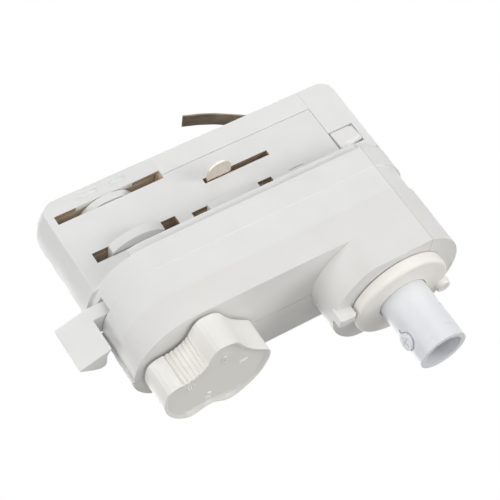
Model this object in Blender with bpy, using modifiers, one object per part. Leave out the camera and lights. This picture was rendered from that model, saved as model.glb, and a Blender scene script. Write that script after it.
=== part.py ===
"""Track light adapter: the head of a track spotlight that locks into a three-circuit lighting track.

Frame: +Z points up into the track, +X towards the stem end, and -Y is the side that is seen.
The origin lies on the stem's axis, in the seat plane, where the rail bears on the track.
All sizes below are in millimetres; the helpers turn them into metres.
"""
import math

import bmesh
import bpy
from mathutils import Matrix, Vector

MM = 0.001
FAR = 200.0              # reach of a tool that cuts everything on one side

# Clearances
GAP = 0.3                # between pieces that touch or are cut by each other
RUN_GAP = 0.325          # between the turning sectors and the case

# Case: the lower housing, as wide as the track
CASE_W = 36.0
CASE_WALL = 1.4
STEM_END_L = 12.3        # depth of the arc at the stem end, to where it meets the flat sides
END_OFFSET = 1.4         # the lever end's centre lies this far past the knob's axis
REAR_STEP = 0.9          # the rear shell stands out at the lever end
RAIL_H = 2.8
RAIL_INSET = 1.6
RAIL_LEFT = 6.5          # the rail starts this far past the knob's axis
NECK_H = 0.6             # shadow groove under the rail
NECK_INSET = 2.6
UPPER_TIER_H = 7.4
MIDDLE_TIER_H = 8.5
MIDDLE_TIER_STEP = 0.8   # the middle tier stands back at the stem end
MIDDLE_TIER_INSET = 0.12
BASE_H = 9.1
BASE_STEP = 0.3
BASE_EDGE_R = 0.6
SLAB_H = 2.0             # floor between the case and the tongue, below the rail
FLOOR_H = 2.0
SEAM_Y = 2.4             # where the two shells meet

# Boss under the stem end
BOSS_OVER = 3.0          # its circle reaches this far past the case's sides
BOSS_SIDE_R = 8.0        # blends the circle into the case's sides
BOSS_DROP = 10.7
BOSS_RIM_R = 1.5
BOSS_FLOOR_H = 2.5
BOSS_BORE_R = 14.0

# Tongue: the narrow upper housing that enters the track
TONGUE_W = 18.0
TONGUE_H = 27.4
TONGUE_WALL = 1.6
TONGUE_LEFT_R = 20.0
TONGUE_OFFSET = 0.8      # centre of its round left end past the knob's axis
TONGUE_TOP_R = 4.0
ROOF_H = 3.7

# Lock and selector axis
KNOB_AXIS_X = -58.8
SLEEVE_R = 5.6
SLEEVE_BORE_R = 3.6
HEX_AF = 11.2            # hexagon of the sleeve, across flats
CAM_WEB = 4.6            # wall between the slots of the two cams
CAM_INSET = 0.8          # the cam's flats lie this far inside the tongue's faces
CAM_Z = 4.0              # lip of the track, and its play
CAM_H = 2.7
NEUTRAL_CAM_Z = 2.9
NEUTRAL_CAM_H = 2.4
NEUTRAL_CAM_DROP = 1.7   # its faces are flatter than its sweep
SLEEVE_LAND = 0.5        # of the sleeve above the cam

# Contacts
UPPER_LINE_DROP = 6.4    # from the tongue's top to the middle of the upper conductors
LINE_PITCH = 7.85        # between the upper and the lower conductors
BLADE_T = 0.9
BLADE_W = 5.0
BLADE_PLAY = 0.4         # in the slots, above and below
POCKET_PLAY = 0.9        # past the blades' tips
POCKET_WEB = 1.4         # wall between the two rooms of the tongue
NOSE_R = 4.2
NOSE_PROUD = 0.3         # past the cam's sweep
NOSE_SLOT_REACH = 17.0
SHUTTER_PROUD = 0.6      # past the tongue's face
SHUTTER_H = 2.2
SHUTTER_HALF_ANGLE = 62.0
DRUM_R = 5.4

# Gear sectors between the two spindles
TEETH = 40               # on a full turn
PRESSURE_ANGLE = 20.0
BACKLASH = 0.16
GEAR_H = 3.0
GEAR_RISE = 1.9          # above the parting line of the base
TRAVEL = 90.0

# Lever
LEVER_H = 4.0
LEVER_RISE = 8.7         # above the parting line of the base
LEVER_HUB_R = 9.0
ARM_REAR = 5.0
TAB_DROP = 10.1
ARM = ((1.4, 2.5), (-4.6, 1.3), (-6.6, -3.6))   # corners from the case's lever end
TAB = ((-2.9, -6.1), (-11.9, -2.45), (-12.5, -1.9), (-11.9, -1.3), (-8.2, 1.0), (-5.8, 1.9),
       (-4.5, 1.4), (-4.1, 0.2), (-4.1, -3.4))   # from the same end

# Selector knob
KNOB_R = 16.8
KNOB_H = 10.4
KNOB_DROP = 0.8
SHAFT_R = 3.2
SHAFT_FLAT = 2.3
SCOOPS = ((231.0, 19.9, 9.4), (319.0, 44.2, 31.6), (95.0, 18.9, 6.0))   # direction, distance, radius
KNOB_FACE_H = 2.2        # below the shaft's seat
KNOB_EDGE_R = 0.5

# Stem
STEM_R = 7.45
STEM_BORE_R = 5.9
STEM_DROP = 34.0         # below the case
STEM_RIM_R = 0.6
STEM_TOP = 1.0           # above its nut
HEAD_R = 11.0
HEAD_H = 2.0
RING_R = 15.2
RING_H = 3.5
RING_EDGE_R = 1.2
LUG_PLAY = 0.9           # between the collar and the lug on the boss
LUG_L = 5.1
LUG_W = 3.6
LUG_Y = -1.6
LUG_H = 3.5
PIN_R = 2.35
PIN_EDGE_R = 0.8
PIN_SETBACK = 0.7        # the pin's axis lies this far inside the collar's rim
PIN_ANGLE = 13.0
PIN_DROP = 0.8           # below the collar

# Divisions of the tongue
COVER_MARGIN = 1.1       # from the selector's room to the cover's end
COVER_H = 6.6
CEILING_H = 1.6          # under the cover
CAP_L = 12.6             # the end cap, from its seam to its apex
WINDOW_INSET = 4.4       # of the window from that apex
WINDOW_Z = 3.7
WINDOW_H = 6.9

# Latch, earth strip, screws
LATCH_STROKE = 2.5
LATCH_PROUD = 0.5
LATCH_FOOT_H = 1.6       # below its ramp
STRIP_T = 0.45
STRIP_W = 5.0
SCREW_R = 1.1
SCREW_HEAD_R = 2.3
SCREW_HEAD_H = 1.3
SCREW_BOSS_R = 3.0
SCREW_REACH = 0.6        # of the half width, through the seam into the front shell
RECESS_HALF_L = 1.5      # cross recess
RECESS_HALF_W = 0.35
RECESS_DEPTH = 0.7

STRIP_SETBACK = 2.8      # its upright part, from the cap's seam
STRIP_LEAN = 5.6         # from there to where it leaves the cover
STRIP_BEND_L = 13.6      # on to its bend
STRIP_BEND_RISE = 8.7    # above the tongue
STRIP_END_L = 22.7
STRIP_END_RISE = 12.5
STRIP_KNEE = ((-2.4, 0.0), (-0.6, -1.8), (0.0, -4.2))   # from its upright part, from its slope
STRIP_FOOT_R = 1.2
STRIP_FOOT_L = 3.0       # past its screw
STRIP_SLOT = 1.0         # half the length of its hole in the ceiling
EARTH_SCREW_OFFSET = 6.6
LATCH_SHOULDER = 0.8

# Small seats
ARM_NEAR_ANGLE = 24.5    # the lever's slot reaches this far past the arm's two edges
ARM_FAR_ANGLE = 11.0
RING_OUT_R = 8.0
DRUM_PIN_R = 2.0
DRUM_PIN_L = 2.0
CONTACT_ROOT = 2.0       # of the phase contacts, past the drum's axis
NEUTRAL_SHAFT_R = 4.0
NEUTRAL_PIN_R = 1.6
NEUTRAL_FOOT_R = 3.0
NEUTRAL_FOOT_RISE = 1.5  # above the case's bottom
NEUTRAL_RING_R = 5.5
NEUTRAL_HEX_AF = 8.0
NEUTRAL_SQUARE = 3.2
STEM_SCREW_DROP = 27.0
STEM_SCREW_ANGLE = 185.0
STEM_SCREW_R = 1.5
STEM_SCREW_HEAD_R = 2.6
STEM_SCREW_HEAD_H = 0.9
STEM_SEAT_DEPTH = 0.55
STEM_HOLE_R = 0.6
STEM_HOLE_RISE = 3.5     # small hole above the screw
GRIPS = ((-7.3, -1.4), (2.8, 7.8))   # shallow recesses, from the knob's axis
GRIP_DROP = 3.2
GRIP_H = 1.5
GRIP_DEPTH = 0.5
WIRE_HOLE = 6.3          # from the neutral spindle's axis
WIRE_HOLE_L = 6.0
WIRE_HOLE_W = 10.0
SLIT_OFFSET = 5.8        # from the neutral cam's slot
SLIT_L = 4.9
SLIT_Z = 4.6
SLIT_H = 0.5

# Terminal block
TERMINAL_OFFSET = 5.5    # from the neutral gear
TERMINAL_SETBACK = 10.3  # from the case's stem end
TERMINAL_W = 16.0
TERMINAL_RISE = 3.0      # above the parting line
TERMINAL_PITCH = 5.0
TERMINAL_HOLE_R = 1.4
TERMINAL_HOLE_DROP = 4.0
TERMINAL_SCREW_R = 1.5
TERMINAL_EDGE_R = 0.8

# Facets
END_STEPS = 20           # of the case's stem end
LEVER_END_STEPS = 24     # of its lever end

# Heights that follow, from the seat plane
HALF_W = CASE_W / 2
BOSS_R = HALF_W + BOSS_OVER
CASE_END_X = BOSS_R + BASE_STEP
CREASE_X = CASE_END_X - STEM_END_L
CASE_LEFT_X = KNOB_AXIS_X - END_OFFSET - HALF_W
CAP_X = BOSS_R - CAP_L
WINDOW_RIGHT_X = BOSS_R - WINDOW_INSET
STRIP_X = CAP_X - STRIP_SETBACK
STRIP_TOP_X = STRIP_X - STRIP_LEAN
EARTH_SCREW_X = STRIP_X - EARTH_SCREW_OFFSET
TONGUE_LEFT_X = KNOB_AXIS_X - TONGUE_OFFSET
RAIL_LEFT_X = KNOB_AXIS_X - RAIL_LEFT
FLANGE_Z = -RAIL_H
TIER_Z = FLANGE_Z - UPPER_TIER_H
PARTING_Z = TIER_Z - MIDDLE_TIER_H
CASE_Z = PARTING_Z - BASE_H
BOSS_Z = CASE_Z - BOSS_DROP
BOSS_FLOOR_Z = BOSS_Z + BOSS_FLOOR_H
SLAB_Z = FLANGE_Z - SLAB_H
ROOF_Z = TONGUE_H - ROOF_H
COVER_Z = TONGUE_H - COVER_H
CEILING_Z = COVER_Z - CEILING_H
UPPER_LINE_Z = TONGUE_H - UPPER_LINE_DROP
LOWER_LINE_Z = UPPER_LINE_Z - LINE_PITCH
TONGUE_HALF = TONGUE_W / 2
POCKET_HALF = TONGUE_HALF - TONGUE_WALL

# The two sectors fill the case between its walls, which sets the distance between the spindles
PITCH_R = (HALF_W - CASE_WALL - RUN_GAP) / (1 + 2 / TEETH)
MODULE = 2 * PITCH_R / TEETH
GEAR_TIP_R = PITCH_R + MODULE
NEUTRAL_AXIS_X = KNOB_AXIS_X + 2 * PITCH_R
CAM_R = PITCH_R - GAP - CAM_WEB / 2
CAM_FLAT = TONGUE_HALF - CAM_INSET
SHUTTER_R = TONGUE_HALF + SHUTTER_PROUD
NOSE_TIP_R = CAM_R + NOSE_PROUD

# The rooms of the two spindles lie side by side, which sets the reach of the phase contacts
NEUTRAL_ROOM_X = NEUTRAL_AXIS_X - CAM_R - GAP
POCKET_REACH = NEUTRAL_ROOM_X - POCKET_WEB - KNOB_AXIS_X
PHASE_R = POCKET_REACH - POCKET_PLAY
COVER_LEFT_X = KNOB_AXIS_X + POCKET_REACH + COVER_MARGIN
TERMINAL_X = NEUTRAL_AXIS_X + GEAR_TIP_R + TERMINAL_OFFSET
PIVOT_RING_Z = PARTING_Z + GEAR_RISE - 1.0
GEAR_Z = PARTING_Z + GEAR_RISE
LEVER_Z = PARTING_Z + LEVER_RISE
KNOB_TOP_Z = CASE_Z - KNOB_DROP
KNOB_Z = KNOB_TOP_Z - KNOB_H
STEM_Z = CASE_Z - STEM_DROP
SLEEVE_TOP_Z = CAM_Z + CAM_H + SLEEVE_LAND
RING_Z = BOSS_Z - GAP - RING_H


def collection(name):
    found = bpy.data.collections.get(name)
    if found is None:
        found = bpy.data.collections.new(name)
        bpy.context.scene.collection.children.link(found)
    return found


def new_piece(name, mesh):
    piece = bpy.data.objects.new(name, mesh)
    collection("track_light_adapter").objects.link(piece)
    return piece


def from_bmesh(name, bm):
    mesh = bpy.data.meshes.new(name)
    bm.to_mesh(mesh)
    bm.free()
    return new_piece(name, mesh)


def box(name, low, high, turn=0.0, about=(0.0, 0.0)):
    """Box between two corners, then turned about a vertical axis."""
    low, high = Vector(low) * MM, Vector(high) * MM
    pivot = Matrix.Translation((about[0] * MM, about[1] * MM, 0))
    place = pivot @ Matrix.Rotation(math.radians(turn), 4, "Z") @ pivot.inverted()
    bm = bmesh.new()
    size = Matrix.Diagonal((*(high - low), 1.0))
    bmesh.ops.create_cube(bm, size=1.0, matrix=place @ Matrix.Translation((low + high) / 2) @ size)
    return from_bmesh(name, bm)


def cylinder(name, radius, start, end, segments=32, end_radius=None):
    """Cylinder or cone between two points."""
    start, end = Vector(start) * MM, Vector(end) * MM
    way = end - start
    place = Matrix.Translation((start + end) / 2) @ way.to_track_quat("Z", "Y").to_matrix().to_4x4()
    bm = bmesh.new()
    bmesh.ops.create_cone(bm, cap_ends=True, cap_tris=False, segments=segments, radius1=radius * MM,
                          radius2=(radius if end_radius is None else end_radius) * MM,
                          depth=way.length, matrix=place)
    return from_bmesh(name, bm)


def disc(name, radius, low, high, x=0.0, y=0.0, segments=40):
    return cylinder(name, radius, (x, y, low), (x, y, high), segments)


def plate(name, outline, low, high, holes=()):
    """Flat outline, drawn as a 2D curve and given its thickness."""
    curve = bpy.data.curves.new(name, "CURVE")
    curve.dimensions = "2D"
    curve.fill_mode = "BOTH"
    curve.extrude = (high - low) / 2 * MM
    for loop in (outline, *holes):
        spline = curve.splines.new("POLY")
        spline.points.add(len(loop) - 1)
        for point, (x, y) in zip(spline.points, loop):
            point.co = (x * MM, y * MM, 0.0, 1.0)
        spline.use_cyclic_u = True
    drawn = new_piece(name + "_outline", curve)
    mesh = bpy.data.meshes.new_from_object(drawn.evaluated_get(bpy.context.evaluated_depsgraph_get()))
    bpy.data.objects.remove(drawn)
    bm = bmesh.new()
    bm.from_mesh(mesh)
    bpy.data.meshes.remove(mesh)
    bmesh.ops.remove_doubles(bm, verts=bm.verts, dist=1e-6)
    bmesh.ops.recalc_face_normals(bm, faces=bm.faces)
    bmesh.ops.translate(bm, verts=bm.verts, vec=(0, 0, (low + high) / 2 * MM))
    return from_bmesh(name, bm)


def turned(name, profile, x=0.0, y=0.0, segments=48, closed=False):
    """Profile of (radius, height) points, outer side from top to bottom, turned about a vertical axis."""
    mesh = bpy.data.meshes.new(name)
    count = len(profile)
    edges = [(i, i + 1) for i in range(count - 1)]
    if closed:
        edges.append((count - 1, 0))
    mesh.from_pydata([(r * MM, 0, z * MM) for r, z in profile], edges, [])
    piece = new_piece(name, mesh)
    piece.location = (x * MM, y * MM, 0)
    screw = piece.modifiers.new("Turn", "SCREW")
    screw.steps = screw.render_steps = segments
    screw.use_merge_vertices = True
    screw.merge_threshold = 0.00001
    return bake(piece)


def bake(piece):
    """Apply the modifiers and the place of a piece."""
    bpy.context.view_layer.update()
    graph = bpy.context.evaluated_depsgraph_get()
    mesh = bpy.data.meshes.new_from_object(piece.evaluated_get(graph))
    piece.modifiers.clear()
    mesh.transform(piece.matrix_world)
    piece.location = (0, 0, 0)
    piece.data = mesh
    return piece


def weld(piece):
    """Merge the points that a Boolean leaves closer than a thousandth of a millimetre."""
    bm = bmesh.new()
    bm.from_mesh(piece.data)
    bmesh.ops.remove_doubles(bm, verts=bm.verts, dist=0.002 * MM)
    bmesh.ops.dissolve_degenerate(bm, edges=bm.edges, dist=0.002 * MM)
    bm.to_mesh(piece.data)
    bm.free()
    return piece


def combine(piece, tools, operation):
    """Boolean of a piece with several others, which are used up."""
    for tool in tools:
        step = piece.modifiers.new(tool.name, "BOOLEAN")
        step.operation = operation
        step.solver = "EXACT"
        step.object = tool
        tool.hide_render = True
    bake(piece)
    for tool in tools:
        bpy.data.objects.remove(tool)
    return weld(piece)


def cut(piece, *tools):
    return combine(piece, tools, "DIFFERENCE")


def join(piece, *tools):
    return combine(piece, tools, "UNION")


def keep(piece, *tools):
    return combine(piece, tools, "INTERSECT")


def copy(piece, name):
    return new_piece(name, piece.data.copy())


def round_edges(piece, radius, segments, chosen):
    """Round the edges that the test picks from their two ends, in millimetres."""
    bm = bmesh.new()
    bm.from_mesh(piece.data)
    edges = [edge for edge in bm.edges if chosen(*(vert.co / MM for vert in edge.verts))
             and edge.calc_face_angle(0.0) > math.radians(20)]
    bmesh.ops.bevel(bm, geom=edges, offset=radius * MM, segments=segments, profile=0.5,
                    affect="EDGES", clamp_overlap=True)
    bm.to_mesh(piece.data)
    bm.free()
    return piece


def level(z):
    """Picks edges that lie in the plane z."""
    return lambda a, b: abs(a.z - z) < 0.01 and abs(b.z - z) < 0.01


def finish(piece, colour, roughness, metallic=0.0, pivot=(0.0, 0.0, 0.0)):
    """Give a piece its material, its smooth shading and its origin."""
    material = bpy.data.materials.new(piece.name)
    material.use_nodes = True
    shader = material.node_tree.nodes["Principled BSDF"]
    shader.inputs["Base Color"].default_value = (*colour, 1.0)
    shader.inputs["Roughness"].default_value = roughness
    shader.inputs["Metallic"].default_value = metallic
    mesh = piece.data
    mesh.materials.clear()
    mesh.materials.append(material)
    place = Vector(pivot) * MM
    mesh.transform(Matrix.Translation(-place))
    piece.location = place
    mesh.shade_smooth()
    mesh.set_sharp_from_angle(angle=math.radians(32))
    return piece


def arc(x, y, radius, start, end, steps):
    """Points of an arc, with the angles in degrees and both ends included."""
    angles = [math.radians(start + (end - start) * i / steps) for i in range(steps + 1)]
    return [(x + radius * math.cos(a), y + radius * math.sin(a)) for a in angles]


def lower_edge(radius, z, edge_r):
    """Rounded lower edge of a turned piece, as a part of its profile."""
    turns = [math.radians(a) for a in range(0, 91, 30)]
    return [(radius - edge_r + edge_r * math.cos(a), z + edge_r - edge_r * math.sin(a)) for a in turns]


def polygon(x, y, across_flats, sides, turn=0.0):
    radius = across_flats / 2 / math.cos(math.pi / sides)
    return arc(x, y, radius, turn, turn + 360 * (sides - 1) / sides, sides - 1)


def stem_end(inset, step):
    """Shallow arc that closes the case at the stem end."""
    rise = CASE_END_X - step - CREASE_X
    radius = (HALF_W ** 2 + rise ** 2) / (2 * rise)
    crease = math.degrees(math.asin((HALF_W - inset) / (radius - inset)))
    return arc(CREASE_X + rise - radius, 0, radius - inset, -crease, crease, END_STEPS)


def case_outline(inset=0.0, step=0.0):
    """Case from above: flat sides, half a circle at the lever end, further out behind the seam.

    The step between the halves lies in the gap of the seam, and no two insets have it in one plane.
    """
    centre, half = CASE_LEFT_X + HALF_W, HALF_W - inset
    seam = 180 - math.degrees(math.asin((SEAM_Y + inset * GAP / 6) / half))
    rear = arc(centre - REAR_STEP, 0, half, 90, seam, LEVER_END_STEPS // 2)
    return stem_end(inset, step) + rear + arc(centre, 0, half, seam, 270, LEVER_END_STEPS // 2)


def boss_outline():
    """Circle about the stem, blended into the case's sides and cut off by its end."""
    blend_y = HALF_W - BOSS_SIDE_R
    blend_x = -math.sqrt((BOSS_R - BOSS_SIDE_R) ** 2 - blend_y ** 2)
    reach = math.degrees(math.atan2(blend_y, -blend_x))
    return (arc(0, 0, BOSS_R, 180 - reach, 180 + reach, 20) +
            arc(blend_x, -blend_y, BOSS_SIDE_R, 180 + reach, 270, 6)[1:] + stem_end(0, BASE_STEP) +
            arc(blend_x, blend_y, BOSS_SIDE_R, 90, 180 - reach, 6)[:-1])


def puck(name, radius, x):
    """Round end of the tongue with its rounded top edge."""
    top = [(radius - TONGUE_TOP_R + TONGUE_TOP_R * math.sin(math.radians(a)),
            TONGUE_H - TONGUE_TOP_R + TONGUE_TOP_R * math.cos(math.radians(a))) for a in range(0, 91, 15)]
    profile = [(0, TONGUE_H)] + top + [(radius, FLANGE_Z - 1), (0, FLANGE_Z - 1)]
    return turned(name, profile, x, segments=52)


def tongue(name):
    """The whole upper housing, before it is hollowed and divided."""
    middle = box("middle", (TONGUE_LEFT_X, -TONGUE_HALF - 1, FLANGE_Z - 1), (0, TONGUE_HALF + 1, TONGUE_H))
    whole = join(middle, puck("left", TONGUE_LEFT_R, TONGUE_LEFT_X), puck("right", BOSS_R, 0))
    keep(whole, box("faces", (-FAR, -TONGUE_HALF, -FAR), (FAR, TONGUE_HALF, FAR)))
    whole.name = name
    return whole


def extrude_x(name, outline, low, high):
    """Outline of (y, z) points with its thickness along X."""
    piece = plate(name, outline, low, high)
    piece.data.transform(Matrix(((0, 0, 1, 0), (1, 0, 0, 0), (0, 1, 0, 0), (0, 0, 0, 1))))
    return piece


def extrude_y(name, outline, low, high):
    """Outline of (x, z) points with its thickness along Y."""
    piece = plate(name, outline, -high, -low)
    piece.data.transform(Matrix(((1, 0, 0, 0), (0, 0, -1, 0), (0, 1, 0, 0), (0, 0, 0, 1))))
    return piece


def ribbon_outline(path, thickness):
    """Outline of a strip that follows a path, with mitred bends."""
    points = [Vector(point) for point in path]
    sides = []
    for index, point in enumerate(points):
        before = (point - points[index - 1]).normalized() if index else None
        after = (points[index + 1] - point).normalized() if index < len(points) - 1 else None
        way = (before or after) + (after or before)
        normal = Vector((-way.y, way.x)).normalized()
        other = after or before
        share = normal.dot(Vector((-other.y, other.x)))
        sides.append(normal * thickness / 2 / share)
    upper = [tuple(point + side) for point, side in zip(points, sides)]
    lower = [tuple(point - side) for point, side in zip(points, sides)]
    return upper + lower[::-1]


# Colours of the real materials
WHITE = (0.80, 0.80, 0.78)
WARM_WHITE = (0.76, 0.75, 0.72)
COOL_WHITE = (0.82, 0.83, 0.84)
GREY = (0.42, 0.42, 0.42)
COPPER_TIN = (0.72, 0.68, 0.60)
STEEL = (0.55, 0.54, 0.52)


def case_screws():
    """Places of the screws that hold the shells together: name, x, z."""
    between = (KNOB_AXIS_X + NEUTRAL_AXIS_X) / 2
    upper_z = LEVER_Z + LEVER_H / 2 - 0.3
    lower_z = CASE_Z + FLOOR_H + SCREW_BOSS_R + 0.5
    past_ring = NEUTRAL_AXIS_X + NEUTRAL_RING_R + SCREW_BOSS_R + 0.8
    return (("body_screw_left", between, upper_z),
            ("body_screw_right", TERMINAL_X - 2 * SCREW_BOSS_R, upper_z),
            ("base_screw_left", between, lower_z), ("base_screw_right", past_ring, lower_z))


def screw_bosses(names):
    return [cylinder("boss", SCREW_BOSS_R, (x, 1 - HALF_W, z), (x, HALF_W - 1, z), 24)
            for name, x, z in case_screws() if name in names]


def screw_holes(names):
    tools = []
    for name, x, z in case_screws():
        if name in names:
            tools.append(cylinder("hole", SCREW_R + GAP, (x, -HALF_W * SCREW_REACH, z),
                                  (x, HALF_W + 1, z), 16))
            seat = HALF_W - SCREW_HEAD_H - GAP
            tools.append(cylinder("seat", SCREW_HEAD_R + GAP, (x, seat, z), (x, HALF_W + 1, z), 20))
    return tools


def divide(whole, front_name, rear_name):
    """Split a housing along the seam into its two shells."""
    rear = copy(whole, rear_name)
    keep(whole, box("front", (-FAR, -FAR, -FAR), (FAR, SEAM_Y - GAP / 2, FAR)))
    keep(rear, box("rear", (-FAR, SEAM_Y + GAP / 2, -FAR), (FAR, FAR, FAR)))
    whole.name = front_name
    return whole, rear


def body():
    """Case above the parting line, rail and tongue, hollowed and slotted."""
    lap = 1.0
    whole = plate("body", case_outline(), TIER_Z, FLANGE_Z)
    tier = plate("tier", case_outline(MIDDLE_TIER_INSET, MIDDLE_TIER_STEP), PARTING_Z + GAP / 2, TIER_Z + lap)
    neck = keep(plate("neck", case_outline(NECK_INSET), FLANGE_Z - lap, FLANGE_Z + NECK_H + lap / 2),
                box("end", (RAIL_LEFT_X + lap, -HALF_W, -FAR), (FAR, HALF_W, FAR)))
    rail = keep(plate("rail", case_outline(RAIL_INSET), FLANGE_Z + NECK_H, 0),
                box("end", (RAIL_LEFT_X, -HALF_W, -FAR), (FAR, HALF_W, FAR)))
    join(whole, tier, neck, rail, tongue("tongue"))

    cavity = plate("cavity", case_outline(CASE_WALL, MIDDLE_TIER_STEP), PARTING_Z - lap, SLAB_Z)
    pocket_left, pocket_right = KNOB_AXIS_X - POCKET_REACH, KNOB_AXIS_X + POCKET_REACH
    selector_room = box("selector_room", (pocket_left, -POCKET_HALF, 0), (pocket_right, POCKET_HALF, ROOF_Z))
    neutral_room = box("neutral_room", (NEUTRAL_ROOM_X, -POCKET_HALF, 0),
                       (CAP_X - CASE_WALL, POCKET_HALF, CEILING_Z))
    through = TONGUE_HALF + 1
    cover_room = box("cover_room", (COVER_LEFT_X - GAP / 2, -through, COVER_Z - GAP / 2), (FAR, through, FAR))
    cap_room = box("cap_room", (CAP_X - GAP / 2, -through, 0), (FAR, through, FAR))
    cut(whole, cavity, selector_room, neutral_room, cover_room, cap_room)
    join(whole, *screw_bosses(("body_screw_left", "body_screw_right")))

    blade_z = (LOWER_LINE_Z - BLADE_T / 2 - BLADE_PLAY, LOWER_LINE_Z + BLADE_T / 2 + BLADE_PLAY)
    shutter_z = (UPPER_LINE_Z - SHUTTER_H / 2 - GAP, UPPER_LINE_Z + SHUTTER_H / 2 + GAP)
    wire_x, slit_x = NEUTRAL_AXIS_X + WIRE_HOLE, NEUTRAL_AXIS_X + CAM_R + GAP + SLIT_OFFSET
    openings = [
        disc("sleeve_hole", SLEEVE_R + GAP, SLAB_Z - 1, 1, KNOB_AXIS_X),
        disc("neutral_hole", NEUTRAL_SHAFT_R + GAP, SLAB_Z - 1, 1, NEUTRAL_AXIS_X, segments=32),
        disc("roof_hole", DRUM_PIN_R + GAP, ROOF_Z - 1, ROOF_Z + DRUM_PIN_L + GAP, KNOB_AXIS_X, segments=24),
        disc("ceiling_hole", NEUTRAL_PIN_R + GAP, CEILING_Z - 1, COVER_Z + 1, NEUTRAL_AXIS_X, segments=24),
        box("wire_hole", (wire_x, -WIRE_HOLE_W / 2, SLAB_Z - 1), (wire_x + WIRE_HOLE_L, WIRE_HOLE_W / 2, 1)),
        box("lock_slot", (KNOB_AXIS_X - CAM_R - GAP, -through, CAM_Z - GAP),
            (KNOB_AXIS_X + CAM_R + GAP, through, CAM_Z + CAM_H + GAP)),
        box("neutral_slot", (NEUTRAL_ROOM_X, -through, NEUTRAL_CAM_Z - GAP),
            (NEUTRAL_AXIS_X + CAM_R + GAP, through, NEUTRAL_CAM_Z + NEUTRAL_CAM_H + GAP)),
        box("phase_slot", (pocket_left, -through, shutter_z[0]), (COVER_LEFT_X - GAP, through, shutter_z[1])),
        box("nose_slot", (NEUTRAL_AXIS_X - NOSE_R - GAP, -through, blade_z[0]),
            (NEUTRAL_AXIS_X + NOSE_SLOT_REACH, 0, blade_z[1])),
        box("rear_slot", (pocket_left, 0, blade_z[0]), (pocket_right, through, blade_z[1])),
        box("side_slit", (slit_x, -through, SLIT_Z),
            (slit_x + SLIT_L, GRIP_DEPTH - TONGUE_HALF, SLIT_Z + SLIT_H)),
        box("strip_hole", (STRIP_X - STRIP_SLOT, -STRIP_W / 2 - GAP, CEILING_Z - 1),
            (STRIP_X + STRIP_SLOT, STRIP_W / 2 + GAP, COVER_Z + 1)),
        disc("earth_hole", SCREW_R + GAP, SLAB_Z + 1, 1, EARTH_SCREW_X, segments=16),
    ]
    grip_z = TONGUE_H - GRIP_DROP
    for left, right in GRIPS:
        for edges in ((-through, GRIP_DEPTH - TONGUE_HALF), (TONGUE_HALF - GRIP_DEPTH, through)):
            openings.append(box("grip", (KNOB_AXIS_X + left, edges[0], grip_z),
                                (KNOB_AXIS_X + right, edges[1], grip_z + GRIP_H)))
    inner, outer = HALF_W - CASE_WALL - 2.2, HALF_W + 4
    swing = arc(KNOB_AXIS_X, 0, outer, 180 + ARM_NEAR_ANGLE, 180 - TRAVEL - ARM_FAR_ANGLE, 24) + \
        arc(KNOB_AXIS_X, 0, inner, 180 - TRAVEL - ARM_FAR_ANGLE, 180 + ARM_NEAR_ANGLE, 24)
    openings.append(plate("lever_slot", swing, LEVER_Z - GAP, LEVER_Z + LEVER_H + GAP))
    cut(whole, *openings, *screw_holes(("body_screw_left", "body_screw_right")))
    for shell in divide(whole, "body_front", "body_rear"):
        finish(shell, WHITE, 0.45)


def base():
    """Case below the parting line, with the boss that carries the stem."""
    whole = plate("base", case_outline(0, BASE_STEP), CASE_Z, PARTING_Z - GAP / 2)
    round_edges(whole, BASE_EDGE_R, 2, level(CASE_Z))
    boss = plate("boss", boss_outline(), BOSS_Z, CASE_Z + FLOOR_H)
    round_edges(boss, BOSS_RIM_R, 3, level(BOSS_Z))
    join(whole, boss)
    cut(whole, plate("cavity", case_outline(CASE_WALL, MIDDLE_TIER_STEP), CASE_Z + FLOOR_H, PARTING_Z + 1),
        disc("boss_room", BOSS_BORE_R, BOSS_FLOOR_Z, CASE_Z + FLOOR_H + 1))
    lug_x = -RING_R - LUG_PLAY
    lug = box("lug", (lug_x - LUG_L, LUG_Y - LUG_W / 2, BOSS_Z - LUG_H),
              (lug_x, LUG_Y + LUG_W / 2, BOSS_Z + BOSS_FLOOR_H / 2))
    round_edges(lug, 0.4, 1, level(BOSS_Z - LUG_H))
    join(whole, lug, disc("lock_ring", RING_OUT_R, CASE_Z + FLOOR_H / 2, PIVOT_RING_Z, KNOB_AXIS_X),
         disc("neutral_ring", NEUTRAL_RING_R, CASE_Z + FLOOR_H / 2, PIVOT_RING_Z, NEUTRAL_AXIS_X, segments=32),
         *screw_bosses(("base_screw_left", "base_screw_right")))
    cut(whole, disc("shaft_hole", SHAFT_R + GAP, CASE_Z - 1, PIVOT_RING_Z + 1, KNOB_AXIS_X, segments=32),
        disc("pin_hole", NEUTRAL_FOOT_R + GAP, CASE_Z + NEUTRAL_FOOT_RISE - GAP, PIVOT_RING_Z + 1,
             NEUTRAL_AXIS_X, segments=32),
        disc("stem_hole", STEM_R + GAP, BOSS_Z - 1, BOSS_FLOOR_Z + 1),
        *screw_holes(("base_screw_left", "base_screw_right")))
    for shell in divide(whole, "base_front", "base_rear"):
        finish(shell, WHITE, 0.45)


def top_cover():
    piece = tongue("top_cover")
    keep(piece, box("part", (COVER_LEFT_X + GAP / 2, -FAR, COVER_Z + GAP / 2), (CAP_X - GAP / 2, FAR, FAR)))
    half = STRIP_W / 2 + GAP
    wall, top = POCKET_HALF - 1, TONGUE_H - 2
    cut(piece, box("slit", (STRIP_TOP_X - STRIP_SLOT, -half, 0), (STRIP_X + STRIP_SLOT, half, FAR)),
        box("hollow", (COVER_LEFT_X + CASE_WALL, -wall, 0), (STRIP_TOP_X - 4 * STRIP_SLOT, wall, top)))
    finish(piece, WHITE, 0.45)


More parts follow.
